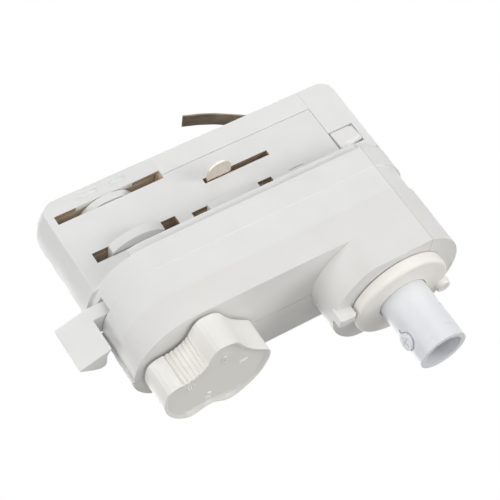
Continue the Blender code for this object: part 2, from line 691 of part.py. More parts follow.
def end_cap():
    """End of the tongue with the window and the channel of the latch."""
    piece = tongue("end_cap")
    keep(piece, box("part", (CAP_X + GAP / 2, -FAR, GAP), (FAR, FAR, FAR)))
    window_top = WINDOW_Z + WINDOW_H
    channel_y = GAP - TONGUE_HALF + TONGUE_WALL
    cut(piece, box("window", (-FAR, -FAR, WINDOW_Z), (WINDOW_RIGHT_X, 0, window_top)),
        box("channel", (-FAR, channel_y - GAP, WINDOW_Z - LATCH_SHOULDER),
            (WINDOW_RIGHT_X + LATCH_SHOULDER, POCKET_HALF, window_top + LATCH_SHOULDER)),
        box("hollow", (-FAR, -POCKET_HALF, window_top + 2.3), (WINDOW_RIGHT_X, POCKET_HALF, TONGUE_H - 2)))
    finish(piece, WHITE, 0.45)


def latch_block():
    """Sprung block whose ramp is pressed in when the tongue enters the track."""
    left = CAP_X + GAP / 2 + GAP
    front = GAP - TONGUE_HALF + TONGUE_WALL
    low, high = WINDOW_Z + GAP, WINDOW_Z + WINDOW_H - GAP
    proud = -TONGUE_HALF - LATCH_PROUD
    ramp = [(front + 1, low), (front + 1, high), (-TONGUE_HALF + 0.2, high), (proud, low + LATCH_FOOT_H),
            (proud, low)]
    piece = extrude_x("latch_block", ramp, left, WINDOW_RIGHT_X - GAP)
    join(piece, box("inner", (left, front, low - LATCH_SHOULDER),
                    (WINDOW_RIGHT_X + LATCH_SHOULDER - GAP, POCKET_HALF - GAP - LATCH_STROKE,
                     high + LATCH_SHOULDER)))
    finish(piece, WARM_WHITE, 0.5, pivot=(left, front, low))


def tooth_flank(half_angle_at_pitch, radius):
    """Half of the tooth's angle at a radius, on an involute flank."""
    base_r = PITCH_R * math.cos(math.radians(PRESSURE_ANGLE))

    def involute(r):
        angle = math.acos(min(1.0, base_r / r))
        return math.tan(angle) - angle
    return half_angle_at_pitch + involute(PITCH_R) - involute(max(radius, base_r))


def sector_outline(centres, hub_r):
    """Toothed rim between the first and the last tooth, closed around the hub."""
    root = PITCH_R - 1.25 * MODULE
    tip = PITCH_R + MODULE
    thickness = math.pi * MODULE / 2 - BACKLASH
    half_angle = thickness / 2 / PITCH_R
    radii = (root, PITCH_R - 0.45 * MODULE, PITCH_R + 0.3 * MODULE, tip)
    points = []
    for centre in centres:
        middle = math.radians(centre)
        rising = [(r, middle - tooth_flank(half_angle, r)) for r in radii]
        falling = [(r, middle + tooth_flank(half_angle, r)) for r in reversed(radii)]
        points += [(r * math.cos(a), r * math.sin(a)) for r, a in rising + falling]
    return points + arc(0, 0, hub_r, centres[-1] + 10, centres[0] + 350, 24)


def sector(name, axis_x, centres, hub_r, hex_af):
    """Gear sector with its hub and the hexagonal seat."""
    seat = polygon(axis_x, 0, hex_af + 2 * GAP, 6)
    outline = [(x + axis_x, y) for x, y in sector_outline(centres, hub_r)]
    piece = plate(name, outline, GEAR_Z, GEAR_Z + GEAR_H)
    join(piece, disc("hub", hub_r, PIVOT_RING_Z + GAP, GEAR_Z + GEAR_H / 2, axis_x))
    cut(piece, plate("seat", seat, PIVOT_RING_Z - 1, GEAR_Z + GEAR_H + 1))
    finish(piece, GREY, 0.5, pivot=(axis_x, 0, GEAR_Z))


def sectors():
    """Lever's sector turns back by a quarter while the neutral's turns forward by a quarter."""
    pitch = 360.0 / TEETH
    count = round(TRAVEL / pitch)
    sector("lock_gear", KNOB_AXIS_X, [k * pitch for k in range(-2, count + 3)], LEVER_HUB_R - 1, HEX_AF)
    sector("neutral_gear", NEUTRAL_AXIS_X,
           [180 + (k - 0.5) * pitch for k in range(-count - 1, 3)], NEUTRAL_RING_R + 1.5, NEUTRAL_HEX_AF)


def cam(name, axis_x, low, high, drop=0.0):
    """Cam with two flats that lie inside the tongue when it is turned in, and two bulging faces."""
    corner = math.sqrt(CAM_R ** 2 - CAM_FLAT ** 2)
    bulge = CAM_R - drop - corner
    face_r = (CAM_FLAT ** 2 + bulge ** 2) / (2 * bulge)
    back = CAM_R - drop - face_r
    half = math.degrees(math.asin(CAM_FLAT / face_r))
    outline = arc(axis_x, back, face_r, 90 - half, 90 + half, 16) + \
        arc(axis_x, -back, face_r, 270 - half, 270 + half, 16)
    return plate(name, outline, low, high)


def lock_sleeve():
    """Sleeve around the selector's shaft: lock cam above, hexagon for lever and sector below."""
    hex_top = SLAB_Z - GAP
    piece = disc("lock_sleeve", SLEEVE_R, hex_top - 1, SLEEVE_TOP_Z, KNOB_AXIS_X)
    join(piece, plate("hexagon", polygon(KNOB_AXIS_X, 0, HEX_AF, 6), PIVOT_RING_Z + GAP, hex_top),
         cam("cam", KNOB_AXIS_X, CAM_Z, CAM_Z + CAM_H))
    cut(piece, disc("bore", SLEEVE_BORE_R, CASE_Z, SLEEVE_TOP_Z + 1, KNOB_AXIS_X, segments=32))
    finish(piece, WHITE, 0.4, pivot=(KNOB_AXIS_X, 0, CAM_Z))


def lock_lever():
    """Lever with its arm through the case's end and a tab turned down for the thumb."""
    top = LEVER_Z + LEVER_H
    x = KNOB_AXIS_X
    end = CASE_LEFT_X
    tab = [(end + px, py) for px, py in TAB]
    arm = [(x, ARM_REAR)] + [(end + px, py) for px, py in ARM] + [tab[0], (x, tab[0][1])]
    piece = plate("lock_lever", tab, LEVER_Z - TAB_DROP, top)
    join(piece, plate("arm", arm, LEVER_Z, top),
         disc("hub", LEVER_HUB_R - 1.2, GEAR_Z + GEAR_H + GAP, SLAB_Z - GAP, x))
    cut(piece, plate("seat", polygon(x, 0, HEX_AF + 2 * GAP, 6), GEAR_Z, SLAB_Z + 1))
    finish(piece, COOL_WHITE, 0.45, pivot=(x, 0, LEVER_Z))


def neutral_spindle():
    """Shaft with the second cam, turned by its sector, and a square for the neutral contact."""
    x = NEUTRAL_AXIS_X
    square_z = LOWER_LINE_Z - BLADE_T / 2 - GAP
    pin_z = square_z + BLADE_T + 2 * GAP
    flange_z, foot_z = GEAR_Z + GEAR_H + GAP, CASE_Z + NEUTRAL_FOOT_RISE
    top = COVER_Z - 2 * GAP
    profile = [(0, top), (NEUTRAL_PIN_R, top), (NEUTRAL_PIN_R, square_z),
               (NEUTRAL_SHAFT_R, square_z), (NEUTRAL_SHAFT_R, SLAB_Z - GAP), (NEUTRAL_RING_R, SLAB_Z - GAP),
               (NEUTRAL_RING_R, flange_z), (NEUTRAL_FOOT_R, flange_z), (NEUTRAL_FOOT_R, foot_z), (0, foot_z)]
    piece = turned("neutral_spindle", profile, x, segments=24)
    join(piece, plate("hexagon", polygon(x, 0, NEUTRAL_HEX_AF, 6), PIVOT_RING_Z + GAP, flange_z + 0.5),
         plate("square", polygon(x, 0, NEUTRAL_SQUARE, 4, 45), square_z - 0.5, pin_z),
         cam("cam", x, NEUTRAL_CAM_Z, NEUTRAL_CAM_Z + NEUTRAL_CAM_H, NEUTRAL_CAM_DROP))
    finish(piece, WHITE, 0.4, pivot=(x, 0, NEUTRAL_CAM_Z))

    nose_y = NOSE_TIP_R - NOSE_R
    outline = arc(x, -nose_y, NOSE_R, 180, 360, 18) + arc(x, 0, NOSE_R, 0, 180, 12)
    contact = plate("neutral_contact", outline, LOWER_LINE_Z - BLADE_T / 2, LOWER_LINE_Z + BLADE_T / 2,
                    [polygon(x, 0, NEUTRAL_SQUARE + 2 * GAP, 4, 45)])
    finish(contact, COPPER_TIN, 0.3, 1.0, pivot=(x, 0, LOWER_LINE_Z))

    tube_low = LOWER_LINE_Z + BLADE_T / 2 + GAP
    tube = [(NEUTRAL_SHAFT_R, CEILING_Z - GAP), (NEUTRAL_SHAFT_R, tube_low),
            (NEUTRAL_SQUARE * 0.75 + GAP, tube_low), (NEUTRAL_SQUARE * 0.75 + GAP, CEILING_Z - GAP)]
    spacer = turned("neutral_spacer", tube, x, segments=24, closed=True)
    finish(spacer, GREY, 0.5, pivot=(x, 0, tube_low))


def blade_outline(inner):
    """Contact blade along +X from its inner end to its round tip."""
    half = BLADE_W / 2
    return [(inner, -half)] + arc(PHASE_R - half, 0, half, -90, 90, 12) + [(inner, half)]


def selector():
    """Shaft and drum inside the lock sleeve, with two contact blades and the shutter."""
    x = KNOB_AXIS_X
    drum_z = SLEEVE_TOP_Z + GAP
    drum_top = ROOF_Z - GAP
    pin_z, shaft_z = drum_top + DRUM_PIN_L, KNOB_Z + KNOB_FACE_H + GAP
    profile = [(0, pin_z), (DRUM_PIN_R, pin_z), (DRUM_PIN_R, drum_top), (DRUM_R, drum_top),
               (DRUM_R, drum_z), (SHAFT_R, drum_z), (SHAFT_R, shaft_z), (0, shaft_z)]
    piece = turned("selector_shaft", profile, x, segments=28)
    lobe = arc(x, 0, SHUTTER_R, 270 - SHUTTER_HALF_ANGLE, 270 + SHUTTER_HALF_ANGLE, 24) + [(x, 0)]
    join(piece, plate("shutter", lobe, UPPER_LINE_Z - SHUTTER_H / 2, UPPER_LINE_Z + SHUTTER_H / 2))
    half = BLADE_W / 2 + GAP
    deep = BLADE_T / 2 + GAP
    root = -CONTACT_ROOT - GAP
    cut(piece, box("upper_slit", (x + root, -half, UPPER_LINE_Z - deep), (FAR, half, UPPER_LINE_Z + deep)),
        box("lower_slit", (x - half, root, LOWER_LINE_Z - deep), (x + half, FAR, LOWER_LINE_Z + deep)),
        box("flat", (x + SHAFT_FLAT, -FAR, shaft_z - 1), (FAR, FAR, KNOB_TOP_Z)))
    finish(piece, WARM_WHITE, 0.45, pivot=(x, 0, drum_z))
    blade = blade_outline(-CONTACT_ROOT)
    upper = plate("phase_contact_upper", [(x + px, py) for px, py in blade],
                  UPPER_LINE_Z - BLADE_T / 2, UPPER_LINE_Z + BLADE_T / 2)
    lower = plate("phase_contact_lower", [(x - py, px) for px, py in blade],
                  LOWER_LINE_Z - BLADE_T / 2, LOWER_LINE_Z + BLADE_T / 2)
    for contact in (upper, lower):
        finish(contact, COPPER_TIN, 0.3, 1.0, pivot=(x, 0, 0))


def knob_outline():
    """Disc with three finger scoops, each cut by a circle, and softened corners."""
    steps = 88
    radii = []
    for index in range(steps):
        angle = 360.0 * index / steps
        radius = KNOB_R
        for direction, distance, scoop_r in SCOOPS:
            turn = math.radians((angle - direction + 180) % 360 - 180)
            inside = scoop_r ** 2 - (distance * math.sin(turn)) ** 2
            if abs(turn) < math.pi / 2 and inside > 0:
                radius = min(radius, distance * math.cos(turn) - math.sqrt(inside))
        radii.append(radius)
    for _ in range(2):
        radii = [(radii[i - 1] + radii[i] + radii[(i + 1) % steps]) / 3 for i in range(steps)]
    turns = [2 * math.pi * i / steps for i in range(steps)]
    return [(KNOB_AXIS_X + r * math.cos(a), r * math.sin(a)) for r, a in zip(radii, turns)]


def selector_knob():
    piece = plate("selector_knob", knob_outline(), KNOB_Z, KNOB_TOP_Z)
    round_edges(piece, KNOB_EDGE_R, 2, level(KNOB_Z))
    bore = disc("bore", SHAFT_R + GAP, KNOB_Z + KNOB_FACE_H, KNOB_TOP_Z + 1, KNOB_AXIS_X, segments=32)
    cut(bore, box("flat", (KNOB_AXIS_X + SHAFT_FLAT + GAP, -FAR, -FAR), (FAR, FAR, FAR)))
    cut(piece, bore)
    finish(piece, WHITE, 0.45, pivot=(KNOB_AXIS_X, 0, KNOB_TOP_Z))


def stem():
    """Tube that carries the spotlight, held in the boss by the nut on its upper end."""
    head_z = BOSS_FLOOR_Z + GAP
    end = lower_edge(STEM_R, STEM_Z, STEM_RIM_R)
    top = head_z + HEAD_H + STEM_TOP
    profile = [(STEM_R, top)] + end + [(STEM_BORE_R, STEM_Z), (STEM_BORE_R, top)]
    piece = turned("stem", profile, segments=40, closed=True)
    nut = plate("stem_nut", polygon(0, 0, HEAD_R * 2 * math.cos(math.pi / 8), 8, 22.5), head_z, head_z + HEAD_H)
    cut(nut, disc("bore", STEM_R + GAP, head_z - 1, head_z + HEAD_H + 1))
    finish(nut, STEEL, 0.35, 1.0)
    z = CASE_Z - STEM_SCREW_DROP
    way = Vector((math.cos(math.radians(STEM_SCREW_ANGLE)), math.sin(math.radians(STEM_SCREW_ANGLE)), 0))

    def across(name, radius, start, end, height=z, segments=24):
        return cylinder(name, radius, (*(way * start).xy, height), (*(way * end).xy, height), segments)
    seat = STEM_R - STEM_SEAT_DEPTH
    cut(piece, across("hole", STEM_SCREW_R + GAP, 2, 12), across("seat", STEM_SCREW_HEAD_R + GAP, seat, 12),
        across("pin_hole", STEM_HOLE_R, 2, 12, z + STEM_HOLE_RISE, 12))
    finish(piece, COOL_WHITE, 0.35)

    top = seat + GAP + STEM_SCREW_HEAD_H
    screw = across("stem_screw", STEM_SCREW_HEAD_R, seat + GAP, top)
    join(screw, across("shank", STEM_SCREW_R, STEM_BORE_R - 1.2, top - STEM_SCREW_HEAD_H / 2, segments=16))
    long, wide = STEM_SCREW_HEAD_R * 0.7, RECESS_HALF_W
    for half_y, half_z in ((long, wide), (wide, long)):
        cut(screw, box("recess", (top - STEM_SCREW_HEAD_H / 2, -half_y, z - half_z),
                       (top + 1, half_y, z + half_z), STEM_SCREW_ANGLE))
    finish(screw, STEEL, 0.35, 1.0)


def stem_collar():
    """Ring below the boss, clamped on the stem, with the pin that meets the boss's lug."""
    top, bore = RING_Z + RING_H, STEM_R + GAP
    edge = lower_edge(RING_R, RING_Z, RING_EDGE_R)
    piece = turned("stem_collar", [(RING_R, top)] + edge + [(bore, RING_Z), (bore, top)],
                   segments=44, closed=True)
    tip = RING_Z - PIN_DROP
    end = lower_edge(PIN_R, tip, PIN_EDGE_R)
    way = math.radians(PIN_ANGLE)
    reach = RING_R - PIN_SETBACK
    join(piece, turned("pin", [(0, top - 0.5), (PIN_R, top - 0.5)] + end + [(0, tip)],
                       reach * math.cos(way), reach * math.sin(way), segments=18))
    finish(piece, WHITE, 0.45)


def earth_strip():
    """Springy earth strip: foot screwed to the slab, up through the cover and bent over its top."""
    slope = STRIP_BEND_RISE / STRIP_BEND_L
    knee_z = TONGUE_H - slope * (STRIP_X + STRIP_KNEE[0][0] - STRIP_TOP_X)
    foot = GAP + STRIP_T / 2
    path = [(STRIP_TOP_X - STRIP_END_L, TONGUE_H + STRIP_END_RISE),
            (STRIP_TOP_X - STRIP_BEND_L, TONGUE_H + STRIP_BEND_RISE)]
    path += [(STRIP_X + px, knee_z + pz) for px, pz in STRIP_KNEE]
    path += [(STRIP_X, foot + STRIP_FOOT_R), (STRIP_X - STRIP_FOOT_R, foot),
             (EARTH_SCREW_X - STRIP_FOOT_L, foot)]
    piece = extrude_y("earth_strip", ribbon_outline(path, STRIP_T), -STRIP_W / 2, STRIP_W / 2)
    cut(piece, disc("hole", SCREW_R + GAP, 0, foot + 1, EARTH_SCREW_X, segments=16))
    finish(piece, STEEL, 0.35, 1.0)
    top = GAP + STRIP_T + GAP
    profile = [(0, top + 1.6), (1.6, top + 1.6), (SCREW_HEAD_R, top + 0.9), (SCREW_HEAD_R, top), (SCREW_R, top),
               (SCREW_R, SLAB_Z + 1.4), (0, SLAB_Z + 1.4)]
    finish(turned("earth_screw", profile, EARTH_SCREW_X, segments=20), STEEL, 0.35, 1.0)


def terminals():
    """Terminal block under the slab, with a clamping screw for each conductor."""
    left, right = TERMINAL_X, CASE_END_X - TERMINAL_SETBACK
    low, high = PARTING_Z + TERMINAL_RISE, SLAB_Z - GAP
    block = box("terminal_block", (left, -TERMINAL_W / 2, low), (right, TERMINAL_W / 2, high))
    round_edges(block, TERMINAL_EDGE_R, 2, lambda a, b: abs(a.x - b.x) < 0.01 and abs(a.y - b.y) < 0.01)
    lines = (-TERMINAL_PITCH, 0.0, TERMINAL_PITCH)
    middle = (left + right) / 2
    hole_z = high - TERMINAL_HOLE_DROP
    tools = []
    for y in lines:
        tools.append(cylinder("entry", TERMINAL_HOLE_R, (left - 1, y, hole_z), (right + 1, y, hole_z), 14))
        tools.append(disc("screw_hole", TERMINAL_SCREW_R + GAP, low - 1, hole_z, middle, y, 14))
    cut(block, *tools)
    finish(block, WARM_WHITE, 0.5)
    for name, y in zip(("terminal_screw_front", "terminal_screw_middle", "terminal_screw_rear"), lines):
        screw = disc(name, TERMINAL_SCREW_R, low + 2 * GAP, hole_z - TERMINAL_HOLE_R, middle, y, 16)
        cut(screw, box("recess", (middle - 2, y - GAP, low - 1), (middle + 2, y + GAP, low + 1.4)))
        finish(screw, STEEL, 0.35, 1.0)


def shell_screws():
    for name, x, z in case_screws():
        head = HALF_W - SCREW_HEAD_H
        screw = cylinder(name, SCREW_HEAD_R, (x, head, z), (x, HALF_W, z), 24)
        join(screw, cylinder("shank", SCREW_R, (x, GAP - HALF_W * SCREW_REACH, z), (x, head + 0.5, z), 16))
        for wide, tall in ((RECESS_HALF_L, RECESS_HALF_W), (RECESS_HALF_W, RECESS_HALF_L)):
            cut(screw, box("recess", (x - wide, HALF_W - RECESS_DEPTH, z - tall),
                           (x + wide, HALF_W + 1, z + tall)))
        finish(screw, STEEL, 0.35, 1.0)


def main():
    for old in list(bpy.data.objects):
        bpy.data.objects.remove(old)
    body()
    base()
    top_cover()
    end_cap()
    latch_block()
    lock_lever()
    lock_sleeve()
    sectors()
    neutral_spindle()
    selector()
    selector_knob()
    stem()
    stem_collar()
    earth_strip()
    terminals()
    shell_screws()


main()
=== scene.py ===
# %% [markdown]
# # The head of a track spotlight
# This lesson dresses a finished construction model of a track light adapter: the white plastic head
# that slides into a lighting track, locks there with a lever and carries the lamp on a hollow stem.
# The construction model is loaded as a fixed frame. Nothing in it is moved; pieces are laid over it.

# %% Load the frame
import math

import bmesh
import bpy
from mathutils import Matrix, Vector


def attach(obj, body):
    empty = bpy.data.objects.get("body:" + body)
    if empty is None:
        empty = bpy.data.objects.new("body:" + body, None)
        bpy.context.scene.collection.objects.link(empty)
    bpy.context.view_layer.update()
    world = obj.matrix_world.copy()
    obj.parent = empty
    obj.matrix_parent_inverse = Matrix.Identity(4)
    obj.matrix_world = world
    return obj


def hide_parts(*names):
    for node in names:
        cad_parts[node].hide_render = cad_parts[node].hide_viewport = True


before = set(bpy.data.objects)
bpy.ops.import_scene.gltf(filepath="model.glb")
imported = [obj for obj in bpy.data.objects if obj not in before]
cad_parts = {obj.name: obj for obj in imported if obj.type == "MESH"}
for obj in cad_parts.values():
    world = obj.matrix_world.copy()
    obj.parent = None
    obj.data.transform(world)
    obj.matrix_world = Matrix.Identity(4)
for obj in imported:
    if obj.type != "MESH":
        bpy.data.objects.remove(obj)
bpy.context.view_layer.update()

# %% [markdown]
# All sizes here are in millimetres, because that is how such a small part is drawn. One helper turns
# them into Blender's metres. A second one deselects everything, because an operator acts on all that
# is selected. A finished piece is settled: its place goes into its mesh, its curved faces are shaded
# smooth, and its normals are weighted by area, so that large flat faces look flat beside small bevels.

# %% Small helpers
MM = 0.001


def mm(*values):
    return tuple(value * MM for value in values)


def deselect():
    if bpy.context.object and bpy.context.object.mode != "OBJECT":
        bpy.ops.object.mode_set(mode="OBJECT")
    bpy.ops.object.select_all(action="DESELECT")


def activate(piece):
    """Make this piece the only one selected."""
    deselect()
    piece.select_set(True)
    bpy.context.view_layer.objects.active = piece


def settle(piece, name, smooth=35):
    """Put the piece's place into its mesh, name it and shade it smooth up to an angle in degrees."""
    activate(piece)
    bpy.ops.object.transform_apply(location=True, rotation=True, scale=True)
    piece.name = name
    piece.data.name = name
    bpy.ops.object.shade_smooth_by_angle(angle=math.radians(smooth))
    flat = piece.modifiers.new("Flats stay flat", "WEIGHTED_NORMAL")
    flat.keep_sharp = True
    bpy.ops.object.modifier_apply(modifier=flat.name)
    print(name, "has", len(piece.data.polygons), "faces")
    return piece


def apply_all(piece):
    """Apply every modifier that the piece has."""
    activate(piece)
    for modifier in list(piece.modifiers):
        bpy.ops.object.modifier_apply(modifier=modifier.name)


# %% [markdown]
# ## The camera
# The camera looks up at the adapter from below its near side, as when the track hangs overhead. Its
# place and the direction of its picture's right, down and forward axes come from the straight edges of
# the case, whose width is known. The lens is a long one, so the sides stay nearly parallel.

# %% Camera
SEAT_ABOVE_CASE = 27.8
CAMERA_PLACE = (-209.8, -413.0, -189.67 - SEAT_ABOVE_CASE)
PICTURE_RIGHT = Vector((0.84097688, -0.09790339, -0.53213984))
PICTURE_DOWN = Vector((-0.40099164, 0.54753059, -0.73444943))
PICTURE_IN = Vector((0.36326793, 0.83103862, 0.42120212))
FOCAL_PIXELS = 1764.468
PICTURE_PIXELS = 500

deselect()
bpy.ops.object.camera_add()
camera = bpy.context.object
camera.name = "camera"
turn = Matrix((PICTURE_RIGHT, -PICTURE_DOWN, -PICTURE_IN)).transposed()
camera.matrix_world = Matrix.Translation(Vector(CAMERA_PLACE) * MM) @ turn.to_4x4()
camera.data.sensor_width = 36.0
camera.data.lens = FOCAL_PIXELS / PICTURE_PIXELS * camera.data.sensor_width
camera.data.clip_start = 0.01
bpy.context.scene.camera = camera
print("lens in mm:", round(camera.data.lens, 1))

# %% [markdown]
# ## Finishes
# White moulded plastic is not one flat colour. Its skin is lightly grained by the mould, its gloss
# changes a little from place to place, and its tone drifts. One node group makes these three effects,
# and each plastic then sets its own colours and depths. A group keeps the recipe in one place.


# %% A node group for moulded skin
def new_group(name, inputs, outputs):
    """Empty shader group with float or colour sockets; returns it with its two end nodes."""
    group = bpy.data.node_groups.new(name, "ShaderNodeTree")
    for label, value in inputs:
        kind = "NodeSocketColor" if isinstance(value, tuple) else "NodeSocketFloat"
        socket = group.interface.new_socket(label, in_out="INPUT", socket_type=kind)
        socket.default_value = value
    for label, kind in outputs:
        group.interface.new_socket(label, in_out="OUTPUT", socket_type="NodeSocket" + kind)
    return group, group.nodes.new("NodeGroupInput"), group.nodes.new("NodeGroupOutput")


def add(tree, kind, **settings):
    node = tree.nodes.new("ShaderNode" + kind)
    for key, value in settings.items():
        setattr(node, key, value)
    return node


def noise(tree, vector, scale, detail=2.0, roughness=0.5):
    node = add(tree, "TexNoise")
    tree.links.new(vector, node.inputs["Vector"])
    if isinstance(scale, float):
        node.inputs["Scale"].default_value = scale
    else:
        tree.links.new(scale, node.inputs["Scale"])
    node.inputs["Detail"].default_value = detail
    node.inputs["Roughness"].default_value = roughness
    return node


def map_range(tree, value, from_low, from_high, to_low, to_high):
    """Stretch a value from one range to another; the new ends may be numbers or sockets."""
    node = add(tree, "MapRange")
    tree.links.new(value, node.inputs["Value"])
    ends = {"From Min": from_low, "From Max": from_high, "To Min": to_low, "To Max": to_high}
    for label, end in ends.items():
        if isinstance(end, (int, float)):
            node.inputs[label].default_value = end
        else:
            tree.links.new(end, node.inputs[label])
    return node.outputs["Result"]


def mix_colour(tree, share, first, second):
    node = add(tree, "Mix", data_type="RGBA")
    tree.links.new(share, node.inputs["Factor"])
    tree.links.new(first, node.inputs[6])
    tree.links.new(second, node.inputs[7])
    return node.outputs[2]


moulded, start, end = new_group(
    "moulded_skin",
    [("Colour", (0.8, 0.8, 0.8, 1.0)), ("Drift Colour", (0.75, 0.75, 0.74, 1.0)), ("Drift Scale", 60.0),
     ("Grain Scale", 2600.0), ("Grain Depth", 1.0), ("Gloss Low", 0.35), ("Gloss High", 0.5)],
    [("Colour", "Color"), ("Roughness", "Float"), ("Height", "Float")])
place = add(moulded, "TexCoord").outputs["Object"]
drift = noise(moulded, place, start.outputs["Drift Scale"], 3.0)
share = map_range(moulded, drift.outputs["Fac"], 0.35, 0.65, 0.0, 1.0)
moulded.links.new(mix_colour(moulded, share, start.outputs["Colour"], start.outputs["Drift Colour"]),
                  end.inputs["Colour"])
patch = noise(moulded, place, 220.0, 3.0)
moulded.links.new(map_range(moulded, patch.outputs["Fac"], 0.3, 0.7, start.outputs["Gloss Low"],
                            start.outputs["Gloss High"]), end.inputs["Roughness"])
grain = noise(moulded, place, start.outputs["Grain Scale"], 2.0, 0.6)
depth = add(moulded, "Math", operation="MULTIPLY")
moulded.links.new(grain.outputs["Fac"], depth.inputs[0])
moulded.links.new(start.outputs["Grain Depth"], depth.inputs[1])
moulded.links.new(depth.outputs["Value"], end.inputs["Height"])
print("group", moulded.name, "with", len(moulded.nodes), "nodes")

# %% [markdown]
# The case's mould had a slide, and where the slide met the mould a fine line runs down the near side;
# the shade in its crease is painted on. A second group measures how far a place on the surface is from that
# line.
# It gives a mask that is 1 on the line and 0 beside it, and 0 on the far side too. A mask that is
# worked out from places stays sharp at any distance, and the material decides which colour it shows.

# %% A node group for the painted shade in the mould's line
MOULD_LINE_X = 9.1
mould_line, start, end = new_group(
    "mould_line", [("Place", MOULD_LINE_X * MM), ("Half Width", 0.26 * MM), ("Side", -10.0 * MM)],
    [("Mask", "Float")])
axes = add(mould_line, "SeparateXYZ")
mould_line.links.new(add(mould_line, "TexCoord").outputs["Object"], axes.inputs["Vector"])
away = add(mould_line, "Math", operation="SUBTRACT")
mould_line.links.new(axes.outputs["X"], away.inputs[0])
mould_line.links.new(start.outputs["Place"], away.inputs[1])
distance = add(mould_line, "Math", operation="ABSOLUTE")
mould_line.links.new(away.outputs["Value"], distance.inputs[0])
ridge = map_range(mould_line, distance.outputs["Value"], 0.0, start.outputs["Half Width"], 1.0, 0.0)
near_side = add(mould_line, "Math", operation="LESS_THAN")
mould_line.links.new(axes.outputs["Y"], near_side.inputs[0])
mould_line.links.new(start.outputs["Side"], near_side.inputs[1])
kept = add(mould_line, "Math", operation="MULTIPLY")
mould_line.links.new(ridge, kept.inputs[0])
mould_line.links.new(near_side.outputs["Value"], kept.inputs[1])
mould_line.links.new(kept.outputs["Value"], end.inputs["Mask"])
print("group", mould_line.name, "with", len(mould_line.nodes), "nodes")

# %% [markdown]
# Each plastic is its own material, with the shader in it and the group in front. A bump node turns the
# grain's height into small dents. The depth is a few hundredths of a millimetre, as on a real mould.

# %% From groups to materials
# Painted shade: the darker colour that the mould line's crease gets in place of its shade.
CREASE_SHADE = (216, 209, 199)


def linear(red, green, blue):
    """Colour as a picture shows it, 0 to 255, to the linear values that a shader takes."""
    def one(value):
        share = value / 255
        return share / 12.92 if share <= 0.04045 else ((share + 0.055) / 1.055) ** 2.4
    return (one(red), one(green), one(blue), 1.0)


def grouped_material(name, group, values, metallic=0.0, bump=0.00002, line=None):
    """Principled material fed by a group's colour, roughness and height, and by a mould line's painted shade
    if wanted.
    """
    material = bpy.data.materials.new(name)
    material.use_nodes = True
    tree = material.node_tree
    shader = tree.nodes["Principled BSDF"]
    skin = add(tree, "Group", node_tree=group)
    for label, value in values.items():
        skin.inputs[label].default_value = value
    dent = add(tree, "Bump")
    dent.inputs["Strength"].default_value = 1.0
    dent.inputs["Distance"].default_value = bump
    colour = skin.outputs["Colour"]
    # A mould line mixes in its painted shade, a darker colour along its crease.
    if line:
        mark = add(tree, "Group", node_tree=line)
        line_shade = add(tree, "Mix", data_type="RGBA")
        tree.links.new(mark.outputs["Mask"], line_shade.inputs["Factor"])
        tree.links.new(colour, line_shade.inputs[6])
        line_shade.inputs[7].default_value = linear(*CREASE_SHADE)
        colour = line_shade.outputs[2]
    tree.links.new(skin.outputs["Height"], dent.inputs["Height"])
    tree.links.new(colour, shader.inputs["Base Color"])
    tree.links.new(skin.outputs["Roughness"], shader.inputs["Roughness"])
    tree.links.new(dent.outputs["Normal"], shader.inputs["Normal"])
    shader.inputs["Metallic"].default_value = metallic
    return material


def plastic(name, colour, drift_colour, gloss=(0.36, 0.5), grain=2600.0, depth=1.0, specular=0.4, line=None):
    material = grouped_material(name, moulded, {
        "Colour": linear(*colour), "Drift Colour": linear(*drift_colour), "Grain Scale": grain,
        "Grain Depth": depth, "Gloss Low": gloss[0], "Gloss High": gloss[1]}, line=line)
    material.node_tree.nodes["Principled BSDF"].inputs["Specular IOR Level"].default_value = specular
    return material


# %% Plastics: colour, drift colour, and where they differ gloss, grain, depth and shine
PLASTICS = {
    "housing_white": plastic("housing_white", (240, 240, 239), (236, 236, 235), line=mould_line),
    "base_white": plastic("base_white", (238, 237, 235), (234, 233, 230), line=mould_line),
    "cover_white": plastic("cover_white", (243, 243, 242), (240, 240, 239), grain=2200.0),
    "cam_white": plastic("cam_white", (240, 240, 238), (236, 236, 234), (0.36, 0.5), 2600.0, 0.8),
    "knob_white": plastic("knob_white", (248, 247, 242), (245, 243, 237), (0.36, 0.48), 3000.0, 0.7),
    "lever_white": plastic("lever_white", (245, 245, 243), (241, 241, 238), (0.36, 0.48), 3000.0, 0.8),
    "latch_white": plastic("latch_white", (252, 252, 250), (249, 248, 246), (0.4, 0.52), 2800.0, 0.9),
    # Painted shade: the tan and the brown stand for the warm shade inside the tongue's rooms and slots.
    "painted_shade_tan": plastic("painted_shade_tan", (246, 232, 212), (234, 216, 192), (0.5, 0.65), 1500.0, 1.6, 0.25),
    "painted_shade_brown": plastic("painted_shade_brown", (176, 152, 124), (160, 136, 108), (0.5, 0.65), 1500.0, 1.6, 0.25),
    "terminal_ivory": plastic("terminal_ivory", (214, 208, 193), (205, 198, 182), (0.42, 0.55), 2400.0, 1.0),
    "gear_grey": plastic("gear_grey", (160, 160, 158), (150, 150, 148), (0.36, 0.5), 2600.0, 0.8),
    "collar_cream": plastic("collar_cream", (252, 249, 243), (249, 246, 240), (0.36, 0.48), 2800.0, 0.8),
}
print("plastics:", ", ".join(PLASTICS))

# %% [markdown]
# ## Metals
# The contacts are tinned brass, the earth strip is dark spring steel and the screws are zinc plated.
# Rolled and drawn metal has fine streaks along one direction. Its group multiplies the coordinates by
# a different factor on each axis, and so draws a noise out along the axis with the small factor. The
# streaks change the colour and the gloss, and leave faint lines in the surface.

